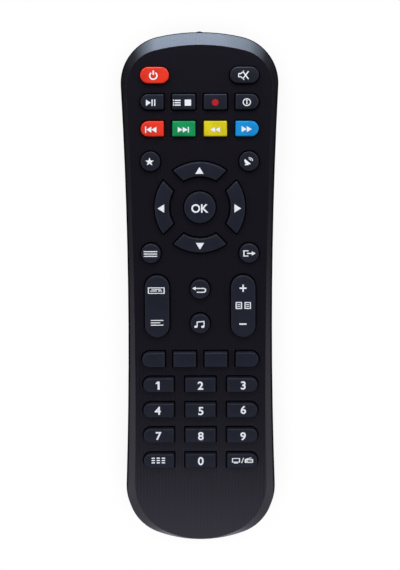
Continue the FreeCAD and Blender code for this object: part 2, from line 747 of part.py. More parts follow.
def draw_pill(sketch, width, height):
    """Two half circles joined by straight sides."""
    radius = height / 2
    middle = width / 2 - radius
    left = FreeCAD.Vector(-middle.value, 0, 0)
    right = FreeCAD.Vector(middle.value, 0, 0)
    rise = FreeCAD.Vector(0, radius.value, 0)
    quarter = math.pi / 2
    sketch.addGeometry(arc(right, radius.value, -quarter, quarter), False)
    sketch.addGeometry(Part.LineSegment(right + rise, left + rise), False)
    sketch.addGeometry(arc(left, radius.value, quarter, 3 * quarter), False)
    sketch.addGeometry(Part.LineSegment(left - rise, right - rise), False)
    for joint in ((0, 2, 1, 1), (1, 2, 2, 1), (2, 2, 3, 1), (3, 2, 0, 1)):
        tie(sketch, "Tangent", *joint)
    tie(sketch, "Horizontal", 1)
    bind(sketch, "Radius", 0, size=radius)
    fix_point(sketch, 0, 3, middle, ZERO)
    fix_point(sketch, 2, 3, -middle, ZERO)


def draw_dome(sketch, width, height):
    """A rectangle whose right end is a half circle."""
    radius = height / 2
    middle = width / 2 - radius
    left = -width / 2
    centre = FreeCAD.Vector(middle.value, 0, 0)
    rise = FreeCAD.Vector(0, radius.value, 0)
    end = FreeCAD.Vector(left.value, 0, 0)
    quarter = math.pi / 2
    sketch.addGeometry(arc(centre, radius.value, -quarter, quarter), False)
    sketch.addGeometry(Part.LineSegment(centre + rise, end + rise), False)
    sketch.addGeometry(Part.LineSegment(end + rise, end - rise), False)
    sketch.addGeometry(Part.LineSegment(end - rise, centre - rise), False)
    for joint in ((0, 2, 1, 1), (3, 2, 0, 1)):
        tie(sketch, "Tangent", *joint)
    for joint in ((1, 2, 2, 1), (2, 2, 3, 1)):
        tie(sketch, "Coincident", *joint)
    tie(sketch, "Horizontal", 1)
    tie(sketch, "Horizontal", 3)
    tie(sketch, "Vertical", 2)
    tie(sketch, "PointOnObject", 0, 3, -1)
    bind(sketch, "DistanceX", -1, 1, 0, 3, size=middle)
    bind(sketch, "DistanceX", -1, 1, 2, 1, size=left)
    bind(sketch, "Radius", 0, size=radius)


def draw_arrow_sector(sketch, grow):
    """A quarter of a ring above the origin, ended by two 45 degree edges."""
    outer = S.pad_outer + grow
    inner = S.pad_inner - grow
    side = S.pad_bar / 2 + S.key_gap - grow
    eighth = math.pi / 4
    origin = FreeCAD.Vector()

    def lean(radius):
        """Angle at which a circle of this radius meets the right-hand edge."""
        return eighth + math.asin(side.value / radius)

    outer_turn = lean(outer.value)
    inner_turn = lean(inner.value)
    outer_arc = arc(origin, outer.value, outer_turn, math.pi - outer_turn)
    inner_arc = arc(origin, inner.value, inner_turn, math.pi - inner_turn)
    sketch.addGeometry(outer_arc, False)
    sketch.addGeometry(inner_arc, False)
    sketch.addGeometry(Part.LineSegment(inner_arc.StartPoint, outer_arc.StartPoint), False)
    sketch.addGeometry(Part.LineSegment(inner_arc.EndPoint, outer_arc.EndPoint), False)
    for joint in ((2, 1, 1, 1), (2, 2, 0, 1), (3, 1, 1, 2), (3, 2, 0, 2)):
        tie(sketch, "Coincident", *joint)
    for index, radius in ((0, outer), (1, inner)):
        tie(sketch, "Coincident", index, 3, -1, 1)
        bind(sketch, "Radius", index, size=radius)
    sketch.addConstraint(Sketcher.Constraint("Angle", 2, eighth))
    sketch.addConstraint(Sketcher.Constraint("Angle", 3, 3 * eighth))
    for index in (2, 3):
        bind(sketch, "Distance", -1, 1, index, size=side)


def draw_key(sketch, key, grow=ZERO):
    """The key's outline, grown on every side."""
    width = key.width + grow * 2
    height = key.height + grow * 2
    if key.outline == "disc":
        draw_circle(sketch, width / 2)
    elif key.outline == "block":
        draw_polygon(sketch, rectangle(-width / 2, width / 2, -height / 2, height / 2))
    elif key.outline == "dome":
        draw_dome(sketch, width, height)
    elif key.outline == "arrow":
        draw_arrow_sector(sketch, grow)
    else:
        draw_pill(sketch, width, height)


def flange_corners(key, grow):
    """Corners of the plain flange under a key, grown on every side."""
    if key.outline != "arrow":
        across = key.width / 2 + grow
        along = key.height / 2 + grow
        return rectangle(-across, across, -along, along)
    diagonal = root(as_length(2))
    edge = S.pad_bar / 2 + S.key_gap
    side = (edge - grow) * diagonal
    high = S.pad_outer + grow
    low = (root(S.pad_inner * S.pad_inner - edge * edge) + edge) / diagonal - grow
    reach = (root(S.pad_outer * S.pad_outer - edge * edge) - edge) / diagonal + grow
    return [(-reach, high), (-reach, reach + side), (-low + side, low),
            (low - side, low), (reach, reach + side), (reach, high)]


def key_solid(key):
    """A key: a plain flange that seats under the face and a cap that stands through it."""
    body = new_body(key.name)
    rocks = key.outline == "rocker"
    flange_top = CEILING - S.rocker_drop if rocks else CEILING
    flange_foot = flange_top - S.rocker_plate if rocks else KEY_BASE
    flange = new_sketch(body, f"{key.name}_flange", offset=flange_foot)
    draw_polygon(flange, flange_corners(key, S.key_flange))
    extrude(body, "Pad", flange, flange_top - flange_foot)
    cap = new_sketch(body, f"{key.name}_cap", offset=flange_top)
    draw_key(cap, key)
    extrude(body, "Pad", cap, key.top() - flange_top)
    if rocks:
        add_fulcrum(body)
    return place(body, key.x, key.y, turn=key.turn)


def add_fulcrum(body):
    """A round rib across a rocker, concentric with its tilt axis, that rolls on the board."""
    sketch = new_sketch(body, f"{body.Name}_fulcrum", "XZ_Plane")
    draw_circle(sketch, CEILING - BOARD_TOP - S.key_reserve, ZERO, CEILING)
    extrude(body, "Pad", sketch, S.rocker_rib, both_ways=True)


def key_opening(key):
    """The opening of a key in the face."""
    body = new_body(f"{key.name}_opening")
    sketch = new_sketch(body, f"{key.name}_hole", offset=CEILING - S.wall)
    draw_key(sketch, key, S.key_gap)
    extrude(body, "Pad", sketch, FACE - CEILING + S.wall * 2)
    return place(body, key.x, key.y, turn=key.turn)


def mat_window(key):
    """The window round a key's base in the keypad mat."""
    body = new_body(f"{key.name}_window")
    sketch = new_sketch(body, f"{key.name}_frame", offset=BOARD_TOP - S.wall)
    draw_polygon(sketch, flange_corners(key, S.key_flange + S.mat_gap))
    extrude(body, "Pad", sketch, S.mat_thickness + S.wall * 2)
    return place(body, key.x, key.y, turn=key.turn)


def break_top_edges(bodies):
    """A small bevel round the top face of each body."""
    doc.recompute()
    for body in bodies:
        base = body.Tip
        top = max(base.Shape.Faces, key=lambda face: face.CenterOfMass.z)
        names = [f"Edge{number}" for number, edge in enumerate(base.Shape.Edges, start=1)
                 if any(edge.isSame(rim) for rim in top.Edges)]
        bevel = body.newObject("PartDesign::Chamfer", f"{body.Name}_edge")
        bevel.Base = (base, names)
        bevel.setExpression("Size", S.key_edge.text)


# ------------------------------------------------------------------------------------------------
# Shells and battery door
# ------------------------------------------------------------------------------------------------
def rib_places():
    """Y of each rib: halfway between the neighbouring edges of two key rows."""
    half_row = S.row_key_height / 2
    half_digit = S.digit_height / 2
    digits = [(row, half_digit) for row in DIGIT_ROWS]
    pairs = [
        ((S.head_margin, S.pill_key_height / 2), (MEDIA_ROW, half_row)),
        ((MEDIA_ROW, half_row), (COLOUR_ROW, half_row)),
        ((COLOUR_ROW, half_row), (FAVOURITE_ROW, S.round_radius)),
        ((MENU_ROW, S.round_radius), (RECALL_ROW + S.audio_step / 2, S.rocker_length / 2)),
        ((BLANK_ROW, half_row), digits[0]),
        *zip(digits, digits[1:]),
    ]
    places = []
    for (upper, upper_half), (lower, lower_half) in pairs:
        places.append(HALF_LENGTH - (upper + upper_half + lower - lower_half) / 2)
    places.append(HALF_LENGTH - DIGIT_ROWS[-1] - S.last_rib)
    return places


def led_bore():
    """The round opening for the LED in the head wall."""
    body = new_body("led_bore")
    sketch = new_sketch(body, "led_bore_circle", "XZ_Plane", -HALF_LENGTH)
    draw_circle(sketch, S.led_radius + S.led_gap, ZERO, LED_HEIGHT)
    extrude(body, "Pad", sketch, S.led_length * 2, both_ways=True)
    return body


def top_shell():
    """Crowned face with its key openings, ribs that press the mat, the boss and the lip's room."""
    kept = [block(f"rib_{number}", -FAR, FAR, y - S.rib / 2, y + S.rib / 2, MAT_TOP, FACE)
            for number, y in enumerate(rib_places(), start=1)]
    kept.append(rod("boss", S.boss_radius, ZERO, SCREW_PLACE, S.parting, FACE))
    hollow = cut("top_hollow", core_form(), bundle("top_kept", kept))
    lip_room = lap_ring("lip_room", S.lip_place - S.lip_gap, S.wall * 2,
                        S.parting - S.seam, S.parting + S.lip_height + S.lip_gap)
    shell = cut("top_lapped", cut("top_walls", upper_form(), hollow), lip_room)
    openings = [key_opening(key) for key in KEYS]
    openings.append(led_bore())
    openings.append(rod("pilot", S.screw_radius + S.thread_gap, ZERO, SCREW_PLACE,
                        S.parting - S.wall, S.screw_seat + S.screw_length + S.pilot_rest))
    return cut("top_shell", shell, bundle("top_openings", openings))


def belly_height(y):
    """Height of the belly's outside at y, forward of where it starts to rise."""
    return (y - S.belly_start) * (y - S.belly_start) / (S.belly_radius * 2)


def bottom_shell(core):
    """Belly with the battery tray, the deck over the door, posts, the screw sleeve and the lip."""
    tray = block("tray", -BAY_OUTER, BAY_OUTER, TRAY_TAIL, BAY_FRONT + S.bay_wall,
                 DECK_UNDER, BOARD_UNDER)
    head_post = BOARD_HEAD - S.board_corner * 2
    posts = []
    for name, y, foot in (("waist", S.waist_place, S.wall / 2),
                          ("head", head_post, belly_height(head_post) + S.wall / 2)):
        for side in (-1, 1):
            posts.append(rod(f"post_{name}_{side + 2}", S.post_radius, S.post_place * side, y,
                             foot, BOARD_UNDER))
    sleeve = rod("sleeve", S.sleeve_radius, ZERO, SCREW_PLACE, DECK_UNDER, S.parting)
    cradle_back = BOARD_HEAD + S.cradle_place
    cradle = block("led_cradle", -S.led_rim, S.led_rim, cradle_back, cradle_back + S.bay_wall,
                   belly_height(cradle_back + S.bay_wall) + S.wall / 2,
                   LED_HEIGHT - S.led_radius - S.tongue_gap)
    inner = fuse("inner_structure", [tray, sleeve, cradle, *posts])
    deck = block("deck", -FAR, FAR, CAP_FRONT + S.door_gap, DECK_FRONT, DECK_UNDER, DECK_TOP)
    deck_wall = block("deck_wall", -FAR, FAR, DECK_FRONT - S.bay_wall, DECK_FRONT, ZERO, DECK_TOP)
    kept = fuse("bottom_kept", [inner, deck, deck_wall])
    solid = fuse("bottom_solid", [lower_form(), inner])
    lip = lap_ring("lip", S.lip_place, S.lip_place + S.lip,
                   S.parting - S.wall, S.parting + S.lip_height)
    walls = fuse("bottom_lipped", [cut("bottom_walls", solid, cut("bottom_hollow", core, kept)), lip])
    plate_space = block("plate_space", -DOOR_HALF - S.door_gap, DOOR_HALF + S.door_gap,
                        -FAR, DOOR_FRONT + S.door_gap, -FAR, DECK_UNDER)
    cap_space = cut("cap_space", block("cap_room", -FAR, FAR, -FAR, CAP_FRONT + S.door_gap,
                                       -FAR, S.parting + S.wall), inner)
    bay = block("bay", -BAY_INNER, BAY_INNER, BAY_BACK, BAY_FRONT, -FAR, BAY_ROOF)
    seat = rod("screw_room", S.screw_head + S.screw_clear, ZERO, SCREW_PLACE, ZERO, S.screw_seat)
    hole = rod("screw_hole", S.screw_radius + S.screw_clear, ZERO, SCREW_PLACE, ZERO, FACE)
    slots = [tab_slot("slot_plate", -CELL_PITCH / 2), tab_slot("slot_spring", CELL_PITCH / 2)]
    spaces = fuse("bottom_spaces", [plate_space, cap_space, bay, seat, hole, *slots])
    return cut("bottom_shell", walls, spaces)


def tab_slot(name, x):
    """The slot in the tray's roof for a contact's tab."""
    half = S.tab_width / 2 + S.tongue_gap
    return block(name, x - half, x + half, BAY_FRONT - S.strip - S.tongue_gap, BAY_FRONT,
                 CELL_HEIGHT, BOARD_UNDER + S.wall)


def battery_door(core, form):
    """The tail of the belly: a plate with a tail cap, side tongues, a latch tab and a thumb grip."""
    plate = block("door_plate", -DOOR_HALF, DOOR_HALF, -FAR, DOOR_FRONT, -FAR, DECK_UNDER)
    cap = block("door_cap", -FAR, FAR, -FAR, CAP_FRONT, -FAR, S.parting - S.door_gap)
    outer = common("door_form", [form, fuse("door_region", [plate, cap])])
    pieces = [cut("door_skin", outer, core)]
    low = S.wall + S.tongue_gap
    top = low + S.tongue
    tail = CAP_FRONT + S.tongue_margin
    front = DOOR_FRONT - S.tongue_margin
    inner_edge = DOOR_HALF - S.tongue
    outer_edge = DOOR_HALF + S.tongue_reach
    for name, root_span, span in (
            ("right", (inner_edge, DOOR_HALF), (inner_edge, outer_edge)),
            ("left", (-DOOR_HALF, -inner_edge), (-outer_edge, -inner_edge))):
        pieces.append(block(f"tongue_root_{name}", *root_span, tail, front, S.wall / 2, top))
        pieces.append(block(f"tongue_{name}", *span, tail, front, low, top))
    half = S.latch_width / 2
    latch_tail = DOOR_FRONT - S.latch_root
    pieces.append(block("latch_base", -half, half, latch_tail, DOOR_FRONT, S.wall / 2, top))
    pieces.append(block("latch_tab", -half, half, latch_tail, DOOR_FRONT + S.tongue_reach, low, top))
    grooves = []
    for number in range(int(S.grip_count.value)):
        edge = DOOR_FRONT - S.grip_place - S.grip_pitch * number
        grooves.append(block(f"grip_{number + 1}", -S.grip_width / 2, S.grip_width / 2,
                             edge - S.grip_pitch / 2, edge, -S.wall, S.grip_depth))
    return cut("battery_door", fuse("door_solid", pieces), bundle("grip", grooves))


# ------------------------------------------------------------------------------------------------
# Cells and contacts
# ------------------------------------------------------------------------------------------------
def battery(name, x, y, turn):
    """An AAA cell along Y with its nub towards +Y before the turn."""
    body = new_body(name)
    sketch = new_sketch(body, f"{name}_profile")
    can = S.cell_length - S.nub_height
    draw_polygon(sketch, [
        (ZERO, ZERO), (S.cell_radius, ZERO), (S.cell_radius, can),
        (S.nub_radius, can), (S.nub_radius, S.cell_length), (ZERO, S.cell_length),
    ])
    revolve(body, sketch, "V_Axis")
    return place(body, x, y, CELL_HEIGHT, turn)


def spring_leaf(name, x, y, turn):
    """A bent blade that reaches from the tray's wall to a cell's flat end."""
    body = new_body(name)
    sketch = new_sketch(body, f"{name}_profile", "YZ_Plane")
    half = S.strip_width / 2
    reach = S.spring_room + S.strip
    draw_polygon(sketch, [
        (ZERO, -half), (ZERO, half), (-S.strip, half), (-S.strip, S.strip * 2 - half),
        (S.leaf_tip - reach, ZERO), (S.leaf_bend - reach / 2, S.leaf_rise),
        (-reach / 2, S.leaf_rise + S.strip), (-reach, ZERO),
    ])
    extrude(body, "Pad", sketch, S.leaf_width, both_ways=True)
    return place(body, x, y, CELL_HEIGHT, turn)


def wall_plate(name, left, right, y):
    """A contact plate standing on the tray's end wall, from y towards the head."""
    half = S.strip_width / 2
    return block(name, left, right, y, y + S.strip, CELL_HEIGHT - half, CELL_HEIGHT + half)


def board_tab(name, x):
    """The tab of a contact, through the tray's roof to the board."""
    half = S.tab_width / 2
    return block(name, x - half, x + half, BAY_FRONT - S.strip, BAY_FRONT, CELL_HEIGHT, BOARD_UNDER)


def contact_plate():
    x = -CELL_PITCH / 2
    half = S.strip_width / 2
    plate = wall_plate("positive_plate", x - half, x + half, BAY_FRONT - S.strip)
    return fuse("contact_plate", [plate, board_tab("positive_tab", x)])


def contact_spring():
    x = CELL_PITCH / 2
    half = S.strip_width / 2
    plate = wall_plate("negative_plate", x - half, x + half, BAY_FRONT - S.strip)
    leaf = spring_leaf("negative_leaf", x, BAY_FRONT, 0)
    return fuse("contact_spring", [plate, board_tab("negative_tab", x), leaf])


def contact_double():
    half = CELL_PITCH / 2 + S.strip_width / 2
    plate = wall_plate("double_plate", -half, half, BAY_BACK)
    return fuse("contact_double", [plate, spring_leaf("double_leaf", -CELL_PITCH / 2, BAY_BACK, 180)])


# ------------------------------------------------------------------------------------------------
# Board, mat, LED, screw and the parts under the board
# ------------------------------------------------------------------------------------------------
def board_sheet(name, bottom, thickness):
    """The board's outline with its cut head corners and the hole for the screw boss."""
    body = new_body(name)
    sketch = new_sketch(body, f"{name}_outline", offset=bottom)
    half = BOARD_HALF
    cut_half = BOARD_HALF - S.board_corner
    shoulder = BOARD_HEAD - S.board_corner
    draw_polygon(sketch, [
        (-half, BOARD_TAIL), (half, BOARD_TAIL), (half, shoulder),
        (cut_half, BOARD_HEAD), (-cut_half, BOARD_HEAD), (-half, shoulder),
    ])
    draw_circle(sketch, S.boss_radius + S.board_gap, ZERO, SCREW_PLACE)
    extrude(body, "Pad", sketch, thickness)
    return body


def keypad_mat():
    """The silicone sheet with a window round each key's base."""
    sheet = board_sheet("mat_sheet", BOARD_TOP, S.mat_thickness)
    return cut("keypad_mat", sheet, bundle("mat_windows", [mat_window(key) for key in KEYS]))


def ir_led():
    """A 5 mm LED along Y with a rim, a dome and two leads that bend up to the board."""
    body = new_body("led_lens")
    sketch = new_sketch(body, "led_profile")
    tip = HALF_LENGTH - S.led_setback
    middle = tip - S.led_radius
    back = middle - S.led_length
    rim_end = back + S.led_rim_length
    dome = FreeCAD.Vector(0, middle.value, 0)
    points = [(0, back), (S.led_rim.value, back), (S.led_rim.value, rim_end),
              (S.led_radius.value, rim_end), (S.led_radius.value, middle)]
    corners = [FreeCAD.Vector(x, y.value, 0) for x, y in points]
    for start, end in zip(corners, corners[1:]):
        sketch.addGeometry(Part.LineSegment(start, end), False)
    sketch.addGeometry(arc(dome, S.led_radius.value, 0, math.pi / 2), False)
    top = FreeCAD.Vector(0, tip.value, 0)
    sketch.addGeometry(Part.LineSegment(top, corners[0]), False)
    for joint in ((0, 2, 1, 1), (1, 2, 2, 1), (2, 2, 3, 1), (3, 2, 4, 1), (4, 2, 5, 1), (5, 2, 0, 1)):
        tie(sketch, "Coincident", *joint)
    for index in (0, 2):
        tie(sketch, "Horizontal", index)
    for index in (1, 3):
        tie(sketch, "Vertical", index)
    fix_point(sketch, 0, 1, ZERO, back)
    bind(sketch, "DistanceX", -1, 1, 1, 1, size=S.led_rim)
    bind(sketch, "DistanceY", -1, 1, 1, 2, size=rim_end)
    bind(sketch, "DistanceX", -1, 1, 3, 1, size=S.led_radius)
    fix_point(sketch, 4, 3, ZERO, middle)
    tie(sketch, "PointOnObject", 5, 1, -2)
    bind(sketch, "DistanceY", -1, 1, 3, 2, size=middle)
    revolve(body, sketch, "V_Axis")
    place(body, z=LED_HEIGHT)
    pieces = [body]
    bend = BOARD_HEAD - S.led_rim_length
    for side in (-1, 1):
        x = S.lead_pitch / 2 * side
        left, right = x - S.lead_radius, x + S.lead_radius
        low = LED_HEIGHT - S.lead_radius
        pieces.append(block(f"led_lead_{side + 2}", left, right, bend, back + S.led_rim_length / 2,
                            low, low + S.lead_radius * 2))
        pieces.append(block(f"led_riser_{side + 2}", left, right, bend, bend + S.lead_radius * 2,
                            low, BOARD_UNDER))
    return fuse("ir_led", pieces)


def case_screw():
    """A pan-head screw, driven upwards from under the battery door."""
    head = rod("screw_pan", S.screw_head, ZERO, SCREW_PLACE, S.screw_seat - S.screw_head_height,
               S.screw_seat)
    shank = rod("screw_shank", S.screw_radius, ZERO, SCREW_PLACE, S.screw_seat - S.screw_head_height,
                S.screw_seat + S.screw_length)
    return fuse("case_screw", [head, shank])


def controller_chip():
    """The controller in its flat case, with a row of pins on each side."""
    y = HALF_LENGTH - S.chip_row
    half = S.chip_width / 2
    case = block("chip_case", -half, half, y - S.chip_length / 2, y + S.chip_length / 2,
                 BOARD_UNDER - S.chip_height, BOARD_UNDER - S.lead_radius)
    pieces = [case]
    for number in range(int(S.pin_count.value)):
        low = y + S.pin_pitch * (number - (S.pin_count.value - 1) / 2) - S.lead_radius
        pieces.append(block(f"pin_{number + 1}", -half - S.pin_reach, half + S.pin_reach,
                            low, low + S.lead_radius * 2, BOARD_UNDER - S.strip, BOARD_UNDER))
    return fuse("controller_chip", pieces)


def resonator():
    """The resonator, tailward of the controller chip."""
    near = HALF_LENGTH - S.chip_row - S.chip_length / 2 - S.resonator_gap
    half = S.resonator_width / 2
    return block("resonator", -half, half, near - S.resonator_depth, near,
                 BOARD_UNDER - S.resonator_height, BOARD_UNDER)


def capacitor():
    return rod("capacitor", S.capacitor_radius, S.chip_width, HALF_LENGTH - S.capacitor_row,
               BOARD_UNDER - S.capacitor_height, BOARD_UNDER)


def transistor():
    """A small round case with one flat side."""
    y = HALF_LENGTH - S.transistor_row
    x = -S.chip_width
    case = rod("transistor_case", S.transistor_radius, x, y,
               BOARD_UNDER - S.transistor_height, BOARD_UNDER)
    flat = block("transistor_cut", x - S.chip_width, x + S.chip_width, y + S.transistor_flat,
                 y + S.chip_width, BOARD_UNDER - S.transistor_height * 2, BOARD_UNDER + S.wall)
    return cut("transistor", case, flat)


def resistors():
    """Three resistors lying side by side under the board."""
    bodies = []
    for number in range(3):
        body = new_body(f"resistor_{number + 1}")
        sketch = new_sketch(body, f"resistor_{number + 1}_end", "YZ_Plane")
        draw_circle(sketch, S.resistor_radius, ZERO, BOARD_UNDER - S.resistor_radius)
        extrude(body, "Pad", sketch, S.resistor_length, both_ways=True)
        y = HALF_LENGTH - S.resistor_row - S.resistor_pitch * number
        bodies.append(place(body, -S.chip_width - S.resistor_length / 2, y))
    return bundle("resistors", bodies)


# ------------------------------------------------------------------------------------------------
# Assembly
# ------------------------------------------------------------------------------------------------
def build():
    """Every sub-part of the handset, in the handset's own frame."""
    keys = [key_solid(key) for key in KEYS]
    shell = top_shell()
    core = doc.getObject("core_form")
    bottom = bottom_shell(core)
    door = battery_door(core, doc.getObject("lower_form"))
    positive_room = BAY_FRONT - S.strip - S.cell_length
    cells = [
        battery("battery_1", -CELL_PITCH / 2, positive_room, 0),
        battery("battery_2", CELL_PITCH / 2, BAY_BACK + S.strip + S.cell_length, 180),
    ]
    parts = [shell, bottom, door, *keys, *cells, contact_plate(), contact_spring(), contact_double(),
             board_sheet("circuit_board", BOARD_UNDER, S.board_thickness), keypad_mat(), ir_led(),
             case_screw(), controller_chip(), resonator(), capacitor(), transistor(), resistors()]
    break_top_edges(keys)
    doc.recompute()
    return parts


def check_document():
    """Stop at any object that failed or holds no valid shape."""
    for thing in doc.Objects:
        if "Invalid" in thing.State or "Error" in thing.State:
            raise RuntimeError(f"{thing.Name} failed: {thing.State}")


def export(parts):
    os.makedirs("parts", exist_ok=True)
    for thing in parts:
        shape = thing.Shape
        if shape.isNull() or not shape.isValid() or not shape.Solids:
            raise RuntimeError(f"{thing.Label} holds no valid solid")
    for thing in parts:
        thing.Shape.exportStep(os.path.join("parts", f"{thing.Label}.step"))
        print(f"{thing.Label}: {len(thing.Shape.Solids)} solid, {thing.Shape.Volume:.1f} mm3")


sub_parts = build()
check_document()
export(sub_parts)
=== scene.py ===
"""Looks of an infrared remote-control handset: finishes, keys, printed symbols, light and camera.

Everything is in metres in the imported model's frame: X to the right of the handset, Y to its
infrared (head) end and Z up, out of the key face.  Sizes that are easier to read in millimetres
are multiplied by MM.
"""
import json
import math

import bmesh
import bpy
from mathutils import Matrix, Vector


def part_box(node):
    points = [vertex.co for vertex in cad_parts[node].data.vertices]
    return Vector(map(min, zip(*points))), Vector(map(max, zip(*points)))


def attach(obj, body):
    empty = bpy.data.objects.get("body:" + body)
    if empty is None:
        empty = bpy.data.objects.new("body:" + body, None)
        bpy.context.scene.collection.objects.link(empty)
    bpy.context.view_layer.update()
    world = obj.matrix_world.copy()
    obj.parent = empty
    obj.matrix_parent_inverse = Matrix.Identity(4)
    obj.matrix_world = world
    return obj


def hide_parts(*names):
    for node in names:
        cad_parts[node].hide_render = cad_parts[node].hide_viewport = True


MM = 0.001

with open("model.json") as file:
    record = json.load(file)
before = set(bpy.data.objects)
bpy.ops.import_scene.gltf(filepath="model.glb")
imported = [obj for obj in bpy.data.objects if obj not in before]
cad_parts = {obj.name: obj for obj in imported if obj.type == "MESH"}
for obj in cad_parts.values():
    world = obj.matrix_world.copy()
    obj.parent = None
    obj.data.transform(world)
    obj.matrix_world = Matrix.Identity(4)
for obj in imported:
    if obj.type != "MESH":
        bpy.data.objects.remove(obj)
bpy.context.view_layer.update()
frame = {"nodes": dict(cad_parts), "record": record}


# ------------------------------------------------------------------------------------------------
# Materials
# ------------------------------------------------------------------------------------------------
MIX_FIRST, MIX_SECOND, MIX_RESULT = 6, 7, 2     # a Mix node's sockets for colours


def fill_ramp(node, stops):
    """Give a colour ramp its stops: pairs of a position and a grey value or colour."""
    elements = node.color_ramp.elements
    while len(elements) < len(stops):
        elements.new(0.5)
    for element, (position, colour) in zip(elements, stops):
        element.position = position
        grey = isinstance(colour, (int, float))
        element.color = (colour, colour, colour, 1.0) if grey else (*colour, 1.0)


class Shader:
    """A material whose nodes are added one by one round its Principled surface."""

    def __init__(self, name, colour, roughness, **inputs):
        self.material = bpy.data.materials.new(name)
        self.material.use_nodes = True
        self.material.diffuse_color = (*colour, 1.0)
        self.tree = self.material.node_tree
        self.surface = self.tree.nodes["Principled BSDF"]
        self.set("Base Color", (*colour, 1.0))
        self.set("Roughness", roughness)
        for socket, value in inputs.items():
            self.set(socket.replace("_", " "), value)

    def set(self, socket, value):
        self.surface.inputs[socket].default_value = value

    def link(self, output, socket):
        self.tree.links.new(output, socket)

    def add(self, kind, **settings):
        """A new shader node of a kind, with these settings."""
        node = self.tree.nodes.new(f"ShaderNode{kind}")
        for name, value in settings.items():
            setattr(node, name, value)
        return node

    def place(self):
        """The point being shaded, in metres in the model's frame."""
        return self.add("TexCoord").outputs["Object"]

    def split(self, vector):
        """The outputs X, Y and Z of a vector."""
        node = self.add("SeparateXYZ")
        self.link(vector, node.inputs["Vector"])
        return node.outputs

    def noise(self, scale, detail=2.0, stretch=(1.0, 1.0, 1.0)):
        """Noise with scale cells a metre, squeezed along each axis by stretch."""
        mapping = self.add("Mapping")
        mapping.inputs["Scale"].default_value = stretch
        self.link(self.place(), mapping.inputs["Vector"])
        texture = self.add("TexNoise")
        texture.inputs["Scale"].default_value = scale
        texture.inputs["Detail"].default_value = detail
        self.link(mapping.outputs["Vector"], texture.inputs["Vector"])
        return texture.outputs["Fac"]

    def waves(self, period, wander, stretch):
        """Upright stripes a period apart on average, bent along their length by wander."""
        mapping = self.add("Mapping")
        mapping.inputs["Scale"].default_value = stretch
        self.link(self.place(), mapping.inputs["Vector"])
        texture = self.add("TexWave", wave_type="BANDS", bands_direction="X")
        # Blender draws a stripe every 2 pi / 20 of a unit at a scale of 1
        texture.inputs["Scale"].default_value = 2 * math.pi / (20.0 * period)
        texture.inputs["Distortion"].default_value = wander
        texture.inputs["Detail"].default_value = 1.0
        texture.inputs["Detail Scale"].default_value = 0.6
        self.link(mapping.outputs["Vector"], texture.inputs["Vector"])
        return texture.outputs["Fac"]

    def ramp(self, factor, *stops):
        """A colour ramp through stops, as fill_ramp takes them."""
        node = self.add("ValToRGB")
        fill_ramp(node, stops)
        self.link(factor, node.inputs["Fac"])
        return node.outputs["Color"]

    def math(self, operation, first, second=0.0):
        """A sum, product or the like of two numbers or sockets."""
        node = self.add("Math", operation=operation)
        for socket, value in zip(node.inputs, (first, second)):
            if isinstance(value, (int, float)):
                socket.default_value = value
            else:
                self.link(value, socket)
        return node.outputs["Value"]

    def range(self, value, low, high, to_low, to_high):
        """A value carried from low..high to to_low..to_high, and held at the ends."""
        node = self.add("MapRange")
        for name, number in (("From Min", low), ("From Max", high),
                             ("To Min", to_low), ("To Max", to_high)):
            node.inputs[name].default_value = number
        self.link(value, node.inputs["Value"])
        return node.outputs["Result"]

    def mix(self, factor, first, second):
        """Two colours mixed by a factor; each is a colour or a socket."""
        node = self.add("Mix", data_type="RGBA")
        for socket, value in ((MIX_FIRST, first), (MIX_SECOND, second)):
            if isinstance(value, tuple):
                node.inputs[socket].default_value = (*value, 1.0)
            else:
                self.link(value, node.inputs[socket])
        self.link(factor, node.inputs[0])
        return node.outputs[MIX_RESULT]

    def shade_gaps(self, colour, reach, least):
        """Painted shade: a colour that falls to a least share of itself where something is close by.
        """
        near = self.add("AmbientOcclusion", samples=8)
        near.inputs["Distance"].default_value = reach
        share = self.range(near.outputs["AO"], 0.35, 0.95, least, 1.0)
        node = self.add("Mix", data_type="RGBA", blend_type="MULTIPLY")
        node.inputs[0].default_value = 1.0
        self.link(colour, node.inputs[MIX_FIRST])
        self.link(share, node.inputs[MIX_SECOND])
        return node.outputs[MIX_RESULT]

    def soft_edges(self, radius):
        """Normals that run round each sharp edge, as if it had this radius."""
        bevel = self.add("Bevel", samples=6)
        bevel.inputs["Radius"].default_value = radius
        return bevel.outputs["Normal"]

    def bump(self, height, strength, distance, normal=None):
        """Normals tilted by a height, over those given or the surface's own."""
        node = self.add("Bump")
        node.inputs["Strength"].default_value = strength
        node.inputs["Distance"].default_value = distance
        self.link(height, node.inputs["Height"])
        if normal is not None:
            self.link(normal, node.inputs["Normal"])
        return node.outputs["Normal"]

    def use(self, **outputs):
        """The finished material, its surface fed by these outputs."""
        for socket, output in outputs.items():
            self.link(output, self.surface.inputs[socket.replace("_", " ")])
        return self.material


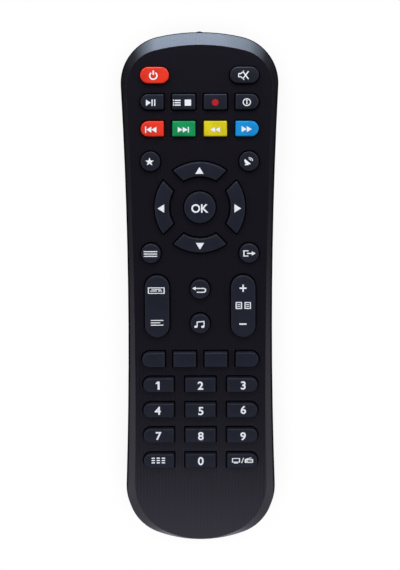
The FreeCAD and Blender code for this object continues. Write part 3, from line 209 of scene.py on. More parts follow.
def brushed_case():
    """Black case plastic: satin gloss, with hairlines along the flat of the face."""
    shader = Shader("brushed_case", (0.0050, 0.0043, 0.0060), 0.3)
    hairs = shader.noise(1.0, stretch=(3800.0, 60.0, 60.0))
    streaks = shader.waves(period=1.05 * MM, wander=1.6, stretch=(1.0, 0.02, 0.02))
    grain = shader.noise(2700.0, detail=1.0)
    normal = shader.split(shader.add("NewGeometry").outputs["True Normal"])
    # 1 on the nearly level face, 0 on the bevels and sides
    on_face = shader.range(normal["Z"], 0.985, 0.995, 0.0, 1.0)
    lines = shader.math("ADD", shader.math("MULTIPLY", hairs, 0.4),
                        shader.math("MULTIPLY", streaks, 0.65))
    # the lines show more on the bare face behind the last row of keys
    tail_depth = shader.range(shader.split(shader.place())["Y"], -45 * MM, -62 * MM, 0.19, 0.32)
    depth = shader.math("MAXIMUM", shader.math("MULTIPLY", on_face, tail_depth), 0.08)
    raked = shader.math("MULTIPLY", shader.math("SUBTRACT", lines, 0.5), depth)
    both = shader.math("ADD", shader.math("ADD", raked, 0.3), shader.math("MULTIPLY", grain, 0.4))
    tone = shader.ramp(both, (0.30, (0.0066, 0.0055, 0.0088)), (0.70, (0.0108, 0.0090, 0.0140)))
    colour = shader.mix(on_face, (0.0062, 0.0056, 0.0076), tone)
    roughness = shader.range(both, 0.35, 0.65, 0.21, 0.25)
    sheen = shader.range(both, 0.30, 0.70, 0.38, 0.58)
    relief = shader.bump(shader.math("MULTIPLY", lines, on_face), 0.3, 0.02 * MM,
                         shader.soft_edges(0.1 * MM))
    return shader.use(Base_Color=colour, Roughness=roughness, Specular_IOR_Level=sheen,
                      Normal=relief)


def grained_case():
    """Black case plastic with the fine pitted grain of a spark-eroded mould."""
    shader = Shader("grained_case", (0.011, 0.011, 0.012), 0.52)
    grain = shader.noise(5200.0, detail=3.0)
    cloud = shader.noise(90.0)
    colour = shader.ramp(cloud, (0.3, (0.0095, 0.0095, 0.0105)), (0.7, (0.013, 0.013, 0.014)))
    roughness = shader.range(grain, 0.3, 0.7, 0.44, 0.62)
    relief = shader.bump(grain, 0.45, 0.04 * MM, shader.soft_edges(0.3 * MM))
    return shader.use(Base_Color=colour, Roughness=roughness, Normal=relief)


def silicone(name, colour):
    """Moulded silicone: soft sheen, very fine grain, a few light specks of dust, and painted shade in
    its gaps.
    """
    shader = Shader(name, colour, 0.44, Specular_IOR_Level=0.28)
    grain = shader.noise(6500.0)
    cloud = shader.noise(260.0)
    dark = tuple(part * 0.88 for part in colour)
    light = tuple(min(part * 1.10 + 0.0006, 1.0) for part in colour)
    tone = shader.ramp(cloud, (0.35, dark), (0.65, light))
    # dots in the middle of some cells of a pattern, chosen by the cells' own random colour
    specks = shader.add("TexVoronoi", feature="F1")
    specks.inputs["Scale"].default_value = 750.0
    shader.link(shader.place(), specks.inputs["Vector"])
    near = shader.range(specks.outputs["Distance"], 0.03, 0.07, 1.0, 0.0)
    chosen = shader.range(specks.outputs["Color"], 0.90, 0.96, 0.0, 0.35)
    dust = shader.math("MULTIPLY", near, chosen)
    pale = tuple(part * 0.7 + 0.10 for part in colour)
    dusty = shader.mix(dust, tone, pale)
    rough = shader.range(grain, 0.3, 0.7, 0.38, 0.52)
    relief = shader.bump(grain, 0.25, 0.03 * MM, shader.soft_edges(0.12 * MM))
    # painted shade: the colour darkens in the gaps round the keys, where parts stand close by
    shaded = shader.shade_gaps(dusty, reach=1.2 * MM, least=0.12)
    return shader.use(Base_Color=shaded, Roughness=rough, Normal=relief)


def ink(name, colour):
    """Screen-printed ink: matt, slightly uneven in cover."""
    shader = Shader(name, colour, 0.6, Specular_IOR_Level=0.2)
    mesh = shader.noise(4200.0)
    thin = tuple(part * 0.93 for part in colour)
    cover = shader.ramp(mesh, (0.3, thin), (0.6, colour))
    return shader.use(Base_Color=cover, Normal=shader.bump(mesh, 0.2, 0.01 * MM))


def steel(name, colour, roughness):
    """Plated steel with fine rolling lines."""
    shader = Shader(name, colour, roughness, Metallic=1.0)
    lines = shader.noise(1.0, detail=3.0, stretch=(300.0, 300.0, 6000.0))
    tone = shader.ramp(lines, (0.3, tuple(part * 0.86 for part in colour)), (0.7, colour))
    rough = shader.range(lines, 0.3, 0.7, roughness - 0.05, roughness + 0.1)
    return shader.use(Base_Color=tone, Roughness=rough,
                      Normal=shader.bump(lines, 0.2, 0.01 * MM, shader.soft_edges(0.08 * MM)))


def smoked_lens():
    """Dark infrared lens: deep, glossy epoxy."""
    shader = Shader("smoked_lens", (0.010, 0.008, 0.014), 0.08, IOR=1.54, Coat_Weight=0.4)
    swirl = shader.noise(700.0)
    colour = shader.ramp(swirl, (0.3, (0.008, 0.006, 0.012)), (0.7, (0.014, 0.010, 0.020)))
    return shader.use(Base_Color=colour, Roughness=shader.range(swirl, 0.3, 0.7, 0.06, 0.12))


def plain_plastic(name, colour, roughness):
    """Moulded plastic of small parts, with a faint texture."""
    shader = Shader(name, colour, roughness)
    grain = shader.noise(3800.0)
    tone = shader.ramp(grain, (0.3, tuple(part * 0.9 for part in colour)), (0.7, colour))
    rough = shader.range(grain, 0.3, 0.7, roughness, roughness + 0.1)
    relief = shader.bump(grain, 0.2, 0.02 * MM, shader.soft_edges(0.1 * MM))
    return shader.use(Base_Color=tone, Roughness=rough, Normal=relief)


def circuit_laminate():
    """Paper-phenolic laminate: tan, with faint fibres along the sheet."""
    shader = Shader("circuit_laminate", (0.42, 0.27, 0.10), 0.55)
    fibres = shader.noise(1.0, detail=3.0, stretch=(2200.0, 160.0, 2200.0))
    colour = shader.ramp(fibres, (0.3, (0.34, 0.21, 0.07)), (0.7, (0.47, 0.31, 0.13)))
    return shader.use(Base_Color=colour, Normal=shader.bump(fibres, 0.2, 0.02 * MM))


def cell_sleeve():
    """A cell's printed sleeve: slate grey with one pale band, bare metal at its two ends."""
    shader = Shader("cell_sleeve", (0.10, 0.12, 0.16), 0.35)
    low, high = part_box("battery_1")
    from_tail = shader.range(shader.split(shader.place())["Y"], low.y, high.y, 0.0, 1.0)
    grain = shader.noise(1600.0)
    rim = 1.4 * MM / (high.y - low.y)
    metal, slate, pale = (0.55, 0.54, 0.52), (0.06, 0.08, 0.12), (0.62, 0.63, 0.66)
    sleeve = shader.ramp(from_tail, (0.0, metal), (rim, slate), (0.5, pale), (0.56, slate),
                         (1.0 - rim, metal))
    sleeve.node.color_ramp.interpolation = "CONSTANT"
    rough = shader.range(grain, 0.3, 0.7, 0.28, 0.4)
    return shader.use(Base_Color=sleeve, Roughness=rough, Normal=shader.soft_edges(0.2 * MM))


def resistor_lacquer():
    """Beige lacquer with coloured bands along X."""
    shader = Shader("resistor_lacquer", (0.70, 0.55, 0.36), 0.35)
    low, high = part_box("resistors")
    along = shader.range(shader.split(shader.place())["X"], low.x, high.x, 0.0, 1.0)
    beige, brown = (0.70, 0.55, 0.36), (0.16, 0.05, 0.02)
    black, orange = (0.02, 0.02, 0.02), (0.8, 0.2, 0.02)
    bands = shader.ramp(along, (0.0, beige), (0.2, brown), (0.28, beige), (0.38, black),
                        (0.46, beige), (0.56, orange), (0.64, beige))
    bands.node.color_ramp.interpolation = "CONSTANT"
    grain = shader.noise(2500.0)
    return shader.use(Base_Color=bands, Roughness=shader.range(grain, 0.3, 0.7, 0.3, 0.42))


KEY_COLOURS = {
    "key_grey": (0.0084, 0.0104, 0.0208),
    "key_red": (0.86, 0.035, 0.012),
    "key_green": (0.002, 0.305, 0.090),
    "key_yellow": (0.76, 0.63, 0.006),
    "key_blue": (0.002, 0.29, 0.70),
}
FINISH = {
    "case_top": brushed_case(),
    "case_bottom": grained_case(),
    "mat": silicone("keypad_sheet", (0.010, 0.010, 0.013)),
    "board": circuit_laminate(),
    "cell": cell_sleeve(),
    "contact": steel("contact_steel", (0.62, 0.61, 0.58), 0.3),
    "lens": smoked_lens(),
    "screw": steel("screw_steel", (0.10, 0.10, 0.11), 0.35),
    "chip": plain_plastic("chip_moulding", (0.018, 0.018, 0.020), 0.5),
    "resonator": plain_plastic("resonator_ceramic", (0.70, 0.28, 0.03), 0.3),
    "capacitor": plain_plastic("capacitor_sleeve", (0.02, 0.03, 0.09), 0.25),
    "resistor": resistor_lacquer(),
    **{slot: silicone(f"{slot}_silicone", colour) for slot, colour in KEY_COLOURS.items()},
}
WHITE_INK = ink("white_ink", (0.96, 0.98, 1.0))
RED_INK = ink("red_ink", (0.50, 0.010, 0.016))

SLOTS = {part["node"]: part["material_slot"] for part in frame["record"]["subparts"]}
for node, thing in frame["nodes"].items():
    thing.data.materials.clear()
    thing.data.materials.append(FINISH[SLOTS[node]])
# the lower radius is cut into slender triangles, which shade in streaks unless the larger faces
# beside them set the normals
for node in ("bottom_shell", "battery_door"):
    even = frame["nodes"][node].modifiers.new("even_normals", "WEIGHTED_NORMAL")
    even.keep_sharp = True


# ------------------------------------------------------------------------------------------------
# Meshes
# ------------------------------------------------------------------------------------------------
SMOOTH_BELOW = 35.0          # degrees between faces; sharper edges stay sharp


def finish_mesh(name, mesh, material, body):
    """Turn a bmesh into an object that rides on a CAD body."""
    bmesh.ops.recalc_face_normals(mesh, faces=mesh.faces)
    data = bpy.data.meshes.new(name)
    mesh.to_mesh(data)
    mesh.free()
    data.materials.append(material)
    thing = bpy.data.objects.new(name, data)
    bpy.context.scene.collection.objects.link(thing)
    data.shade_smooth()
    data.set_sharp_from_angle(angle=math.radians(SMOOTH_BELOW))
    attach(thing, body)
    return thing


def stack(mesh, rings):
    """Faces between rings of equally many points, with a lid at each end."""
    loops = [[mesh.verts.new(point) for point in ring] for ring in rings]
    for lower, upper in zip(loops, loops[1:]):
        for index in range(len(lower)):
            after = (index + 1) % len(lower)
            mesh.faces.new((lower[index], lower[after], upper[after], upper[index]))
    mesh.faces.new(reversed(loops[0]))
    mesh.faces.new(loops[-1])


def arc_points(x, y, radius, start, end, steps):
    """Points on an arc, its angles in degrees."""
    points = []
    for step in range(steps + 1):
        angle = math.radians(start + (end - start) * step / steps)
        points.append((x + radius * math.cos(angle), y + radius * math.sin(angle)))
    return points


# ------------------------------------------------------------------------------------------------
# Keys: the CAD keys' outlines with rounded top edges
# ------------------------------------------------------------------------------------------------
FLANGE = 0.7 * MM            # the CAD flange beyond a key's outline
CEILING = 17.4 * MM          # underside of the face, where the flanges seat
TOP_ROUND = 0.4 * MM         # radius of a key's top edge
DRAFT = 0.08 * MM            # how far a key's sides lean in on their way up
CORNER = 0.4 * MM            # radius of a key's small upright corners
MIN_CORNER = 0.32 * MM       # the least such radius, at the top
PROUD = 1.5 * MM             # height of a key above the face
LEAN_FROM = 60 * MM          # tailward of this Y, the tops of the keys stand a little to the tail,
LEAN = 0.0045                # by this share of their way from it
MOST_LEAN = 0.38 * MM        # but no further than this, which the gap round a key still clears
ARC_STEPS = 14               # pieces of a quarter turn of an outline
ROUND_STEPS = 5              # rings round a key's top edge
PAD_OUTER = 14.8 * MM        # outer radius of the arrow keys
PAD_INNER = 10.0 * MM        # inner radius of the arrow keys
PAD_SIDE = 2.28 * MM         # an arrow key's slanted end to the line through the pad's centre
ROCKER_AXIS = 17.4 * MM      # height of the line that a rocker tilts about
ROCKER_FULCRUM = 2.6 * MM    # radius of the rib under a rocker
ROCKER_RIB = 5.0 * MM        # width of that rib
RIB_ARC = (200, 340)         # degrees between which the rib is round; above them it is in the key
ROCKER_FLANGE = (15.9 * MM, 16.6 * MM)      # heights between which a rocker's flange lies

ROUND_KEYS = ("key_favourite", "key_satellite", "key_menu", "key_exit", "key_recall", "key_audio",
              "key_ok", "key_power", "key_mute", "rocker_text", "rocker_page")
LEFT_KEYS = ("key_play", "key_red", "key_blank_1", "key_1", "key_4", "key_7", "key_guide")
RIGHT_KEYS = ("key_info", "key_blue", "key_blank_4", "key_3", "key_6", "key_9", "key_tv")
ARROW_KEYS = {"key_up": 0, "key_left": 90, "key_down": 180, "key_right": 270}
KEY_NODES = [node for node, slot in SLOTS.items() if slot in KEY_COLOURS]


class KeyPlace:
    """Where a key stands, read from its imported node; an arrow key stands about the pad's centre."""

    def __init__(self, node):
        low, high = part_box(node)
        self.centre = (low + high) / 2
        self.width = high.x - low.x - 2 * FLANGE
        self.depth = high.y - low.y - 2 * FLANGE
        self.low = low.z
        self.top = high.z
        if node in ARROW_KEYS:
            pad_low, pad_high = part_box("key_ok")
            self.centre = (pad_low + pad_high) / 2


PLACES = {node: KeyPlace(node) for node in KEY_NODES}


def rounded_box(width, depth, radii, inset):
    """A rectangle moved inwards, with a radius at its right-top, left-top, left-low, right-low."""
    points = []
    sides = ((1, 1), (-1, 1), (-1, -1), (1, -1))
    for quarter, (radius, (side_x, side_y)) in enumerate(zip(radii, sides)):
        rounded = max(radius - inset, MIN_CORNER)
        x = side_x * (width / 2 - inset - rounded)
        y = side_y * (depth / 2 - inset - rounded)
        points += arc_points(x, y, rounded, 90 * quarter, 90 * quarter + 90, ARC_STEPS)
    return points


def arrow_sector(inset):
    """The quarter ring of the upward arrow key about the pad's centre, moved inwards."""
    outer = PAD_OUTER - inset
    inner = PAD_INNER + inset
    side = PAD_SIDE + inset
    corner = max(CORNER - inset, MIN_CORNER)

    def end_angle(radius):
        """Where the right end meets a circle about the pad's centre."""
        return 45.0 + math.degrees(math.asin(side / radius))

    def corner_angle(radius):
        return math.degrees(corner / radius)

    def toward(tip, other):
        """The point on a slanted end where a tip's rounding starts."""
        reach = math.dist(tip, other)
        return tuple(a + (b - a) * corner / reach for a, b in zip(tip, other))

    def rounded(start, tip, end):
        """Points from after start to end, on a curve that cuts the tip."""
        return [tuple((1 - t) ** 2 * a + 2 * t * (1 - t) * b + t * t * c
                      for a, b, c in zip(start, tip, end)) for t in (0.25, 0.5, 0.75, 1.0)]

    outer_end, inner_end = end_angle(outer), end_angle(inner)
    outer_start = outer_end + corner_angle(outer)
    inner_start = inner_end + corner_angle(inner)
    outer_arc = arc_points(0, 0, outer, outer_start, 180 - outer_start, 3 * ARC_STEPS)
    inner_arc = arc_points(0, 0, inner, 180 - inner_start, inner_start, 2 * ARC_STEPS)
    tips = [arc_points(0, 0, radius, angle, angle, 1)[0]
            for radius, angle in ((outer, 180 - outer_end), (inner, 180 - inner_end),
                                  (inner, inner_end), (outer, outer_end))]
    high_left, low_left, low_right, high_right = tips
    left_start = toward(low_left, high_left)
    right_start = toward(high_right, low_right)
    return [
        *outer_arc, *rounded(outer_arc[-1], high_left, toward(high_left, low_left)),
        left_start, *rounded(left_start, low_left, inner_arc[0])[:-1],
        *inner_arc, *rounded(inner_arc[-1], low_right, toward(low_right, high_right)),
        right_start, *rounded(right_start, high_right, outer_arc[0])[:-1],
    ]


def key_outline(node, inset):
    """A key's outline moved inwards, about its own centre."""
    place = PLACES[node]
    if node in ARROW_KEYS:
        turn = math.radians(ARROW_KEYS[node])
        cosine, sine = math.cos(turn), math.sin(turn)
        return [(x * cosine - y * sine, x * sine + y * cosine) for x, y in arrow_sector(inset)]
    half = min(place.width, place.depth) / 2
    right = half if node in ROUND_KEYS or node in RIGHT_KEYS else CORNER
    left = half if node in ROUND_KEYS or node in LEFT_KEYS else CORNER
    return rounded_box(place.width, place.depth, (right, left, left, right), inset)


def key_ring(node, inset, height):
    """A key's outline at a height, standing to the tail by its lean above the face."""
    place = PLACES[node]
    lean = min(max((LEAN_FROM - place.centre.y) * LEAN, 0.0), MOST_LEAN)
    above = max(height - place.top + PROUD, 0.0) / PROUD
    return [(place.centre.x + x, place.centre.y + y - lean * above, height)
            for x, y in key_outline(node, inset)]


def build_key(node):
    """A flange, sides upright to the face and slightly slanted above it, and a rounded top edge."""
    place = PLACES[node]
    rocks = node.startswith("rocker")
    low, high = ROCKER_FLANGE if rocks else (place.low, CEILING)
    draft = 0.0 if node in ROUND_KEYS else DRAFT
    rings = [key_ring(node, -FLANGE, low), key_ring(node, -FLANGE, high), key_ring(node, 0, high),
             key_ring(node, 0, place.top - PROUD)]
    for step in range(ROUND_STEPS + 1):
        angle = math.pi / 2 * step / ROUND_STEPS
        inset = draft + TOP_ROUND * (1 - math.cos(angle))
        rings.append(key_ring(node, inset, place.top - TOP_ROUND * (1 - math.sin(angle))))
    mesh = bmesh.new()
    stack(mesh, rings)
    if rocks:
        add_fulcrum(mesh, place.centre)
    piece = finish_mesh(f"{node}_cap", mesh, FINISH[SLOTS[node]], f"{node}_body")
    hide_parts(node)


def add_fulcrum(mesh, centre):
    """The rounded rib across a rocker, on which it tilts."""
    ends = []
    for x in (centre.x - ROCKER_RIB / 2, centre.x + ROCKER_RIB / 2):
        ends.append([(x, centre.y + across, ROCKER_AXIS + up)
                     for across, up in arc_points(0, 0, ROCKER_FULCRUM, *RIB_ARC, ARC_STEPS)])
    stack(mesh, ends)


for node in KEY_NODES:
    build_key(node)


# ------------------------------------------------------------------------------------------------
# Printed symbols
# ------------------------------------------------------------------------------------------------
INK_LIFT = 0.006 * MM        # gap between a key and its ink
INK_THICKNESS = 0.03 * MM
INK_STEP = 0.0006 * MM       # keeps the tops of overlapping shapes apart


def bar(x, y, width, height, turn=0.0):
    """A filled rectangle about x, y, turned in degrees."""
    cosine, sine = math.cos(math.radians(turn)), math.sin(math.radians(turn))
    corners = ((-1, -1), (1, -1), (1, 1), (-1, 1))
    return [(x + (a * width * cosine - b * height * sine) / 2,
             y + (a * width * sine + b * height * cosine) / 2) for a, b in corners]


def stroke(start, end, width):
    """A straight stroke between two points."""
    (x0, y0), (x1, y1) = start, end
    turn = math.degrees(math.atan2(y1 - y0, x1 - x0))
    return bar((x0 + x1) / 2, (y0 + y1) / 2, math.dist(start, end), width, turn)


def strokes(points, width):
    """A bent stroke through points, as overlapping straight ones."""
    pieces = [stroke(a, b, width) for a, b in zip(points, points[1:])]
    return pieces + [disc(x, y, width / 2, 10) for x, y in points[1:-1]]


def disc(x, y, radius, steps=36):
    """A filled circle, as a polygon."""
    return arc_points(x, y, radius, 0, 360 - 360 / steps, steps - 1)


def band(x, y, radius, width, start=0.0, end=360.0, steps=36):
    """A curved stroke, as quads."""
    inner = arc_points(x, y, radius - width / 2, start, end, steps)
    outer = arc_points(x, y, radius + width / 2, start, end, steps)
    return [[inner[n], outer[n], outer[n + 1], inner[n + 1]] for n in range(steps)]


def hollow_box(x, y, width, height, line):
    """The outline of a rectangle."""
    across = (width - line) / 2
    along = (height - line) / 2
    upright = height - 2 * line
    return [bar(x, y - along, width, line), bar(x, y + along, width, line),
            bar(x - across, y, line, upright), bar(x + across, y, line, upright)]


def triangle(x, y, width, height, turn=0.0):
    """A triangle about x, y whose point is to the right before the turn."""
    cosine, sine = math.cos(math.radians(turn)), math.sin(math.radians(turn))
    corners = ((-width / 2, -height / 2), (width / 2, 0), (-width / 2, height / 2))
    return [(x + a * cosine - b * sine, y + a * sine + b * cosine) for a, b in corners]


def star(x, y, radius):
    """A five-pointed star, as triangles about its middle."""
    points = []
    for number in range(10):
        reach = radius if number % 2 == 0 else radius * 0.42
        points += arc_points(x, y, reach, 90 + 36 * number, 90 + 36 * number, 1)[:1]
    return [[(x, y), points[n], points[(n + 1) % 10]] for n in range(10)]


def symbol_power():
    return [*band(0, -0.1, 1.22, 0.5, 125, 415), bar(0, 0.95, 0.5, 1.5)]


def symbol_mute():
    """A loudspeaker in outline, crossed out."""
    speaker = [(0.25, 1.5), (-1.0, 0.5), (-1.85, 0.5), (-1.85, -0.5), (-1.0, -0.5), (0.25, -1.5)]
    return [*strokes(speaker, 0.36), stroke((-0.25, 1.2), (1.95, -1.3), 0.4),
            stroke((-0.25, -1.2), (1.95, 1.3), 0.4)]


def symbol_play():
    return [triangle(-0.75, 0, 1.8, 2.2), bar(0.62, 0, 0.44, 2.2), bar(1.6, 0, 0.44, 2.2)]


def symbol_stop():
    """A list of files beside a stop square."""
    lines = [bar(-1.6, height, 1.9, 0.42) for height in (-0.8, 0, 0.8)]
    ticks = [bar(-2.95, height, 0.42, 0.42) for height in (-0.8, 0, 0.8)]
    return [*lines, *ticks, bar(1.75, 0, 2.1, 2.1)]


def symbol_info():
    return [*band(0, 0, 1.3, 0.36), bar(0, -0.28, 0.46, 1.1), disc(0, 0.66, 0.29, 16)]


def symbol_previous():
    return [bar(-1.85, 0, 0.4, 2.15), triangle(-0.75, 0, 1.7, 2.15, 180),
            triangle(0.95, 0, 1.7, 2.15, 180)]


def symbol_next():
    return [bar(1.75, 0, 0.4, 2.15), triangle(0.7, 0, 1.65, 2.15), triangle(-0.95, 0, 1.65, 2.15)]


def symbol_rewind():
    return [triangle(-0.95, 0, 1.85, 2.15, 180), triangle(0.9, 0, 1.85, 2.15, 180)]


def symbol_forward():
    return [triangle(-0.9, 0, 1.85, 2.15), triangle(0.95, 0, 1.85, 2.15)]


def symbol_favourite():
    return star(0, -0.1, 1.65)


def symbol_satellite():
    """A dish on its foot, with waves in front of it."""
    dish = arc_points(0.15, 0.35, 1.5, 150, 300, 14)
    waves = [*band(0.25, 0.45, 0.62, 0.3, -10, 100, 10), *band(0.25, 0.45, 1.2, 0.3, -10, 100, 12)]
    foot = [(-1.35, -1.45), (-0.6, -0.55), (0.15, -1.45)]
    return [dish, *waves, foot]


def symbol_menu():
    return [bar(0, height, 4.0, 0.44) for height in (-1.02, 0, 1.02)]


def symbol_exit():
    """An arrow that leaves an open frame."""
    doorway = [bar(-1.75, 0, 0.42, 2.6), bar(-1.1, 1.09, 1.7, 0.42), bar(-1.1, -1.09, 1.7, 0.42)]
    return [*doorway, bar(0.1, 0, 1.7, 0.5), triangle(1.45, 0, 1.25, 1.9)]


def symbol_captions():
    return [*hollow_box(0, 0, 5.6, 2.8, 0.36), bar(-0.9, -0.2, 2.1, 0.4), bar(1.25, -0.2, 1.4, 0.4),
            bar(0, 0.55, 3.2, 0.34)]


def symbol_lines():
    """Lines of text, of uneven length."""
    return [bar(0, 1.0, 4.3, 0.38), bar(-0.55, 0.0, 3.2, 0.38), bar(0, -1.0, 4.3, 0.38)]


def symbol_recall():
    """An arrow that turns back on itself."""
    return [bar(0.3, 0.75, 2.6, 0.42), *band(1.55, 0.0, 0.75, 0.42, -90, 90, 14),
            bar(0.55, -0.75, 2.1, 0.42), triangle(-1.45, 0.75, 1.1, 1.5, 180)]


def symbol_audio():
    """Two joined notes."""
    notes = [arc_points(x, -0.95, 0.52, 0, 340, 17) for x in (-1.1, 1.05)]
    return [*notes, bar(-0.72, 0.2, 0.32, 2.2), bar(1.43, 0.35, 0.32, 2.4),
            [(-0.88, 0.85), (1.59, 1.15), (1.59, 1.65), (-0.88, 1.35)]]


def symbol_plus():
    return [bar(0, 0, 3.0, 0.62), bar(0, 0, 0.62, 3.0)]


def symbol_minus():
    return [bar(0, 0, 2.9, 0.72)]


def symbol_pages():
    """Two sheets side by side, with two lines on each."""
    sheets = []
    for x in (-1.45, 1.45):
        sheets += [*hollow_box(x, 0, 2.1, 2.7, 0.36), bar(x, 0.35, 0.95, 0.3),
                   bar(x, -0.4, 0.95, 0.3)]
    return sheets


def symbol_guide():
    """A table of programmes."""
    return [bar(x, y, 1.15, 0.5) for x in (-1.75, 0.0, 1.75) for y in (-1.0, 0.0, 1.0)]


def symbol_screen():
    """A television beside a radio, parted by a slanted stroke."""
    television = [*hollow_box(-2.35, 0.15, 2.9, 2.1, 0.36), bar(-2.35, -1.2, 1.6, 0.36)]
    radio = [*hollow_box(2.3, -0.2, 3.0, 1.8, 0.36), *band(1.6, -0.2, 0.36, 0.26, steps=16),
             bar(2.9, -0.2, 0.9, 0.28), stroke((1.2, 0.7), (3.2, 1.35), 0.3)]
    return [*television, *radio, stroke((-0.35, -1.2), (0.35, 1.3), 0.3)]


def symbol_one():
    """The digit one, with its flag."""
    return [bar(0.28, 0, 0.72, 3.35), [(-0.75, 0.62), (-0.08, 0.88), (-0.08, 1.675), (-0.75, 1.05)]]


# key, drawing in millimetres, offset of its middle from the key's centre in millimetres, and its
# stretch across and along
SYMBOLS = [
    ("key_power", symbol_power, (-0.37, -0.10), (0.96, 0.92)),
    ("key_mute", symbol_mute, (-0.33, -0.09), (0.84, 0.98)),
    ("key_play", symbol_play, (-0.52, -0.28), (0.88, 0.93)),
    ("key_stop", symbol_stop, (-0.36, -0.31), (0.98, 0.94)),
    ("key_info", symbol_info, (-0.10, -0.20), (0.90, 0.84)),
    ("key_red", symbol_previous, (-0.32, -0.31), (0.96, 0.95)),
    ("key_green", symbol_next, (-0.24, -0.34), (0.98, 0.87)),
    ("key_yellow", symbol_rewind, (-0.10, -0.34), (0.89, 0.82)),
    ("key_blue", symbol_forward, (-0.15, -0.20), (0.90, 0.92)),
    ("key_favourite", symbol_favourite, (-0.28, -0.10), (0.90, 0.84)),
    ("key_satellite", symbol_satellite, (-0.25, -0.18), (0.95, 0.78)),
    ("key_menu", symbol_menu, (-0.15, -0.28), (1.10, 0.74)),
    ("key_exit", symbol_exit, (0.05, -0.18), (0.99, 0.77)),
    ("key_recall", symbol_recall, (-0.55, -0.52), (1.02, 0.84)),
    ("key_audio", symbol_audio, (-0.26, -0.48), (1.05, 0.74)),
    ("key_guide", symbol_guide, (-0.20, -0.02), (0.96, 0.78)),
    ("key_tv", symbol_screen, (0.08, -0.12), (0.92, 0.70)),
    ("rocker_text", symbol_captions, (-0.22, 5.1), (0.98, 0.74)),
    ("rocker_text", symbol_lines, (-0.00, -5.5), (0.96, 0.78)),
    ("rocker_page", symbol_plus, (-0.06, 5.8), (0.76, 0.78)),
    ("rocker_page", symbol_pages, (0.0, 0.12), (1.0, 0.84)),
    ("rocker_page", symbol_minus, (-0.11, -6.0), (0.83, 0.66)),
]
# arrow key: offset of its mark from the pad's centre in millimetres
ARROW_MARKS = {"key_up": (-0.10, 11.9), "key_left": (-12.7, -0.40),
               "key_down": (0.0, -12.70), "key_right": (12.33, -0.40)}
# digit of the font: offset of its middle from the key's centre in millimetres
DIGIT_OFFSETS = {0: (0.06, -0.27), 2: (0.04, -0.41), 3: (0.31, -0.38), 4: (-0.27, -0.25),
                 5: (0.13, -0.41), 6: (0.34, -0.06), 7: (-0.04, -0.28), 8: (0.10, -0.31),
                 9: (0.25, -0.45)}
DIGIT_HEIGHT = 2.74           # millimetres
DIGIT_STRETCH = 1.06          # width against the font's own
BOLDNESS = 0.022              # growth of the font's outline, in parts of its size
FLAT_ANGLE = 0.01             # radians; flatter corners of the letters' meshes are dissolved
# key: lettering, its height in millimetres, its width against the font's own, and its offset
LETTERING = {"key_ok": ("OK", 2.8, 0.975, (0.00, -0.40))}
for digit, offset in DIGIT_OFFSETS.items():
    LETTERING[f"key_{digit}"] = (str(digit), DIGIT_HEIGHT, DIGIT_STRETCH, offset)


def print_shapes(name, node, shapes, offset, material, stretch=(1.0, 1.0)):
    """Thin ink in the given outlines, in millimetres, on top of a key and riding with it."""
    place = PLACES[node]
    low = place.top + INK_LIFT
    mesh = bmesh.new()
    for number, shape in enumerate(shapes):
        height = low + INK_THICKNESS + INK_STEP * (number % 3)
        rings = [[(place.centre.x + (x * stretch[0] + offset[0]) * MM,
                   place.centre.y + (y * stretch[1] + offset[1]) * MM, z)
                  for x, y in shape] for z in (low, height)]
        stack(mesh, rings)
    finish_mesh(name, mesh, material, f"{node}_body")


def print_letters(node, text, height, stretch, offset):
    """Bold lettering on top of a key, scaled to its height in millimetres."""
    curve = bpy.data.curves.new(f"{node}_letters", "FONT")
    curve.body = text
    curve.align_x = "CENTER"
    curve.offset = BOLDNESS
    thing = bpy.data.objects.new(f"{node}_letters", curve)
    bpy.context.scene.collection.objects.link(thing)
    bpy.context.view_layer.update()
    data = bpy.data.meshes.new_from_object(thing)
    bpy.data.objects.remove(thing)
    bpy.data.curves.remove(curve)
    xs = [vertex.co.x for vertex in data.vertices]
    ys = [vertex.co.y for vertex in data.vertices]
    middle = Vector(((min(xs) + max(xs)) / 2, (min(ys) + max(ys)) / 2, 0))
    scale = height * MM / (max(ys) - min(ys))
    place = PLACES[node]
    low = place.top + INK_LIFT
    mesh = bmesh.new()
    mesh.from_mesh(data)
    bpy.data.meshes.remove(data)
    bmesh.ops.dissolve_limit(mesh, angle_limit=FLAT_ANGLE, verts=mesh.verts, edges=mesh.edges)
    grown = bmesh.ops.extrude_face_region(mesh, geom=mesh.faces[:])
    raised = {item for item in grown["geom"] if isinstance(item, bmesh.types.BMVert)}
    for vertex in mesh.verts:
        across = (vertex.co - middle) * scale
        vertex.co = (place.centre.x + across.x * stretch + offset[0] * MM,
                     place.centre.y + across.y + offset[1] * MM,
                     low + (INK_THICKNESS if vertex in raised else 0.0))
    finish_mesh(f"{node}_print", mesh, WHITE_INK, f"{node}_body")


for number, (node, drawing, offset, stretch) in enumerate(SYMBOLS):
    print_shapes(f"{node}_print_{number}", node, drawing(), offset, WHITE_INK, stretch)
for node, offset in ARROW_MARKS.items():
    mark = triangle(0, 0, 2.2, 2.7, 90 + ARROW_KEYS[node])
    print_shapes(f"{node}_print", node, [mark], offset, WHITE_INK)
print_shapes("key_record_print", "key_record", [disc(0, 0, 1.08)], (-0.05, -0.25), RED_INK)
print_shapes("key_1_print", "key_1", symbol_one(), (-0.21, -0.38), WHITE_INK, (0.92, 0.81))
for node, (text, height, stretch, offset) in LETTERING.items():
    print_letters(node, text, height, stretch, offset)


# ------------------------------------------------------------------------------------------------
# Stage, light and camera
# ------------------------------------------------------------------------------------------------
FLOOR_RADIUS = 6.0            # metres
FLOOR_DROP = 0.05 * MM        # keeps the floor clear of the back that rests on it
SHADOW_REACH = 16 * MM        # how near the handset has to be to paint shadow on the floor
MIRROR_GLOW = (0.95, 0.91, 1.08, 1.0)
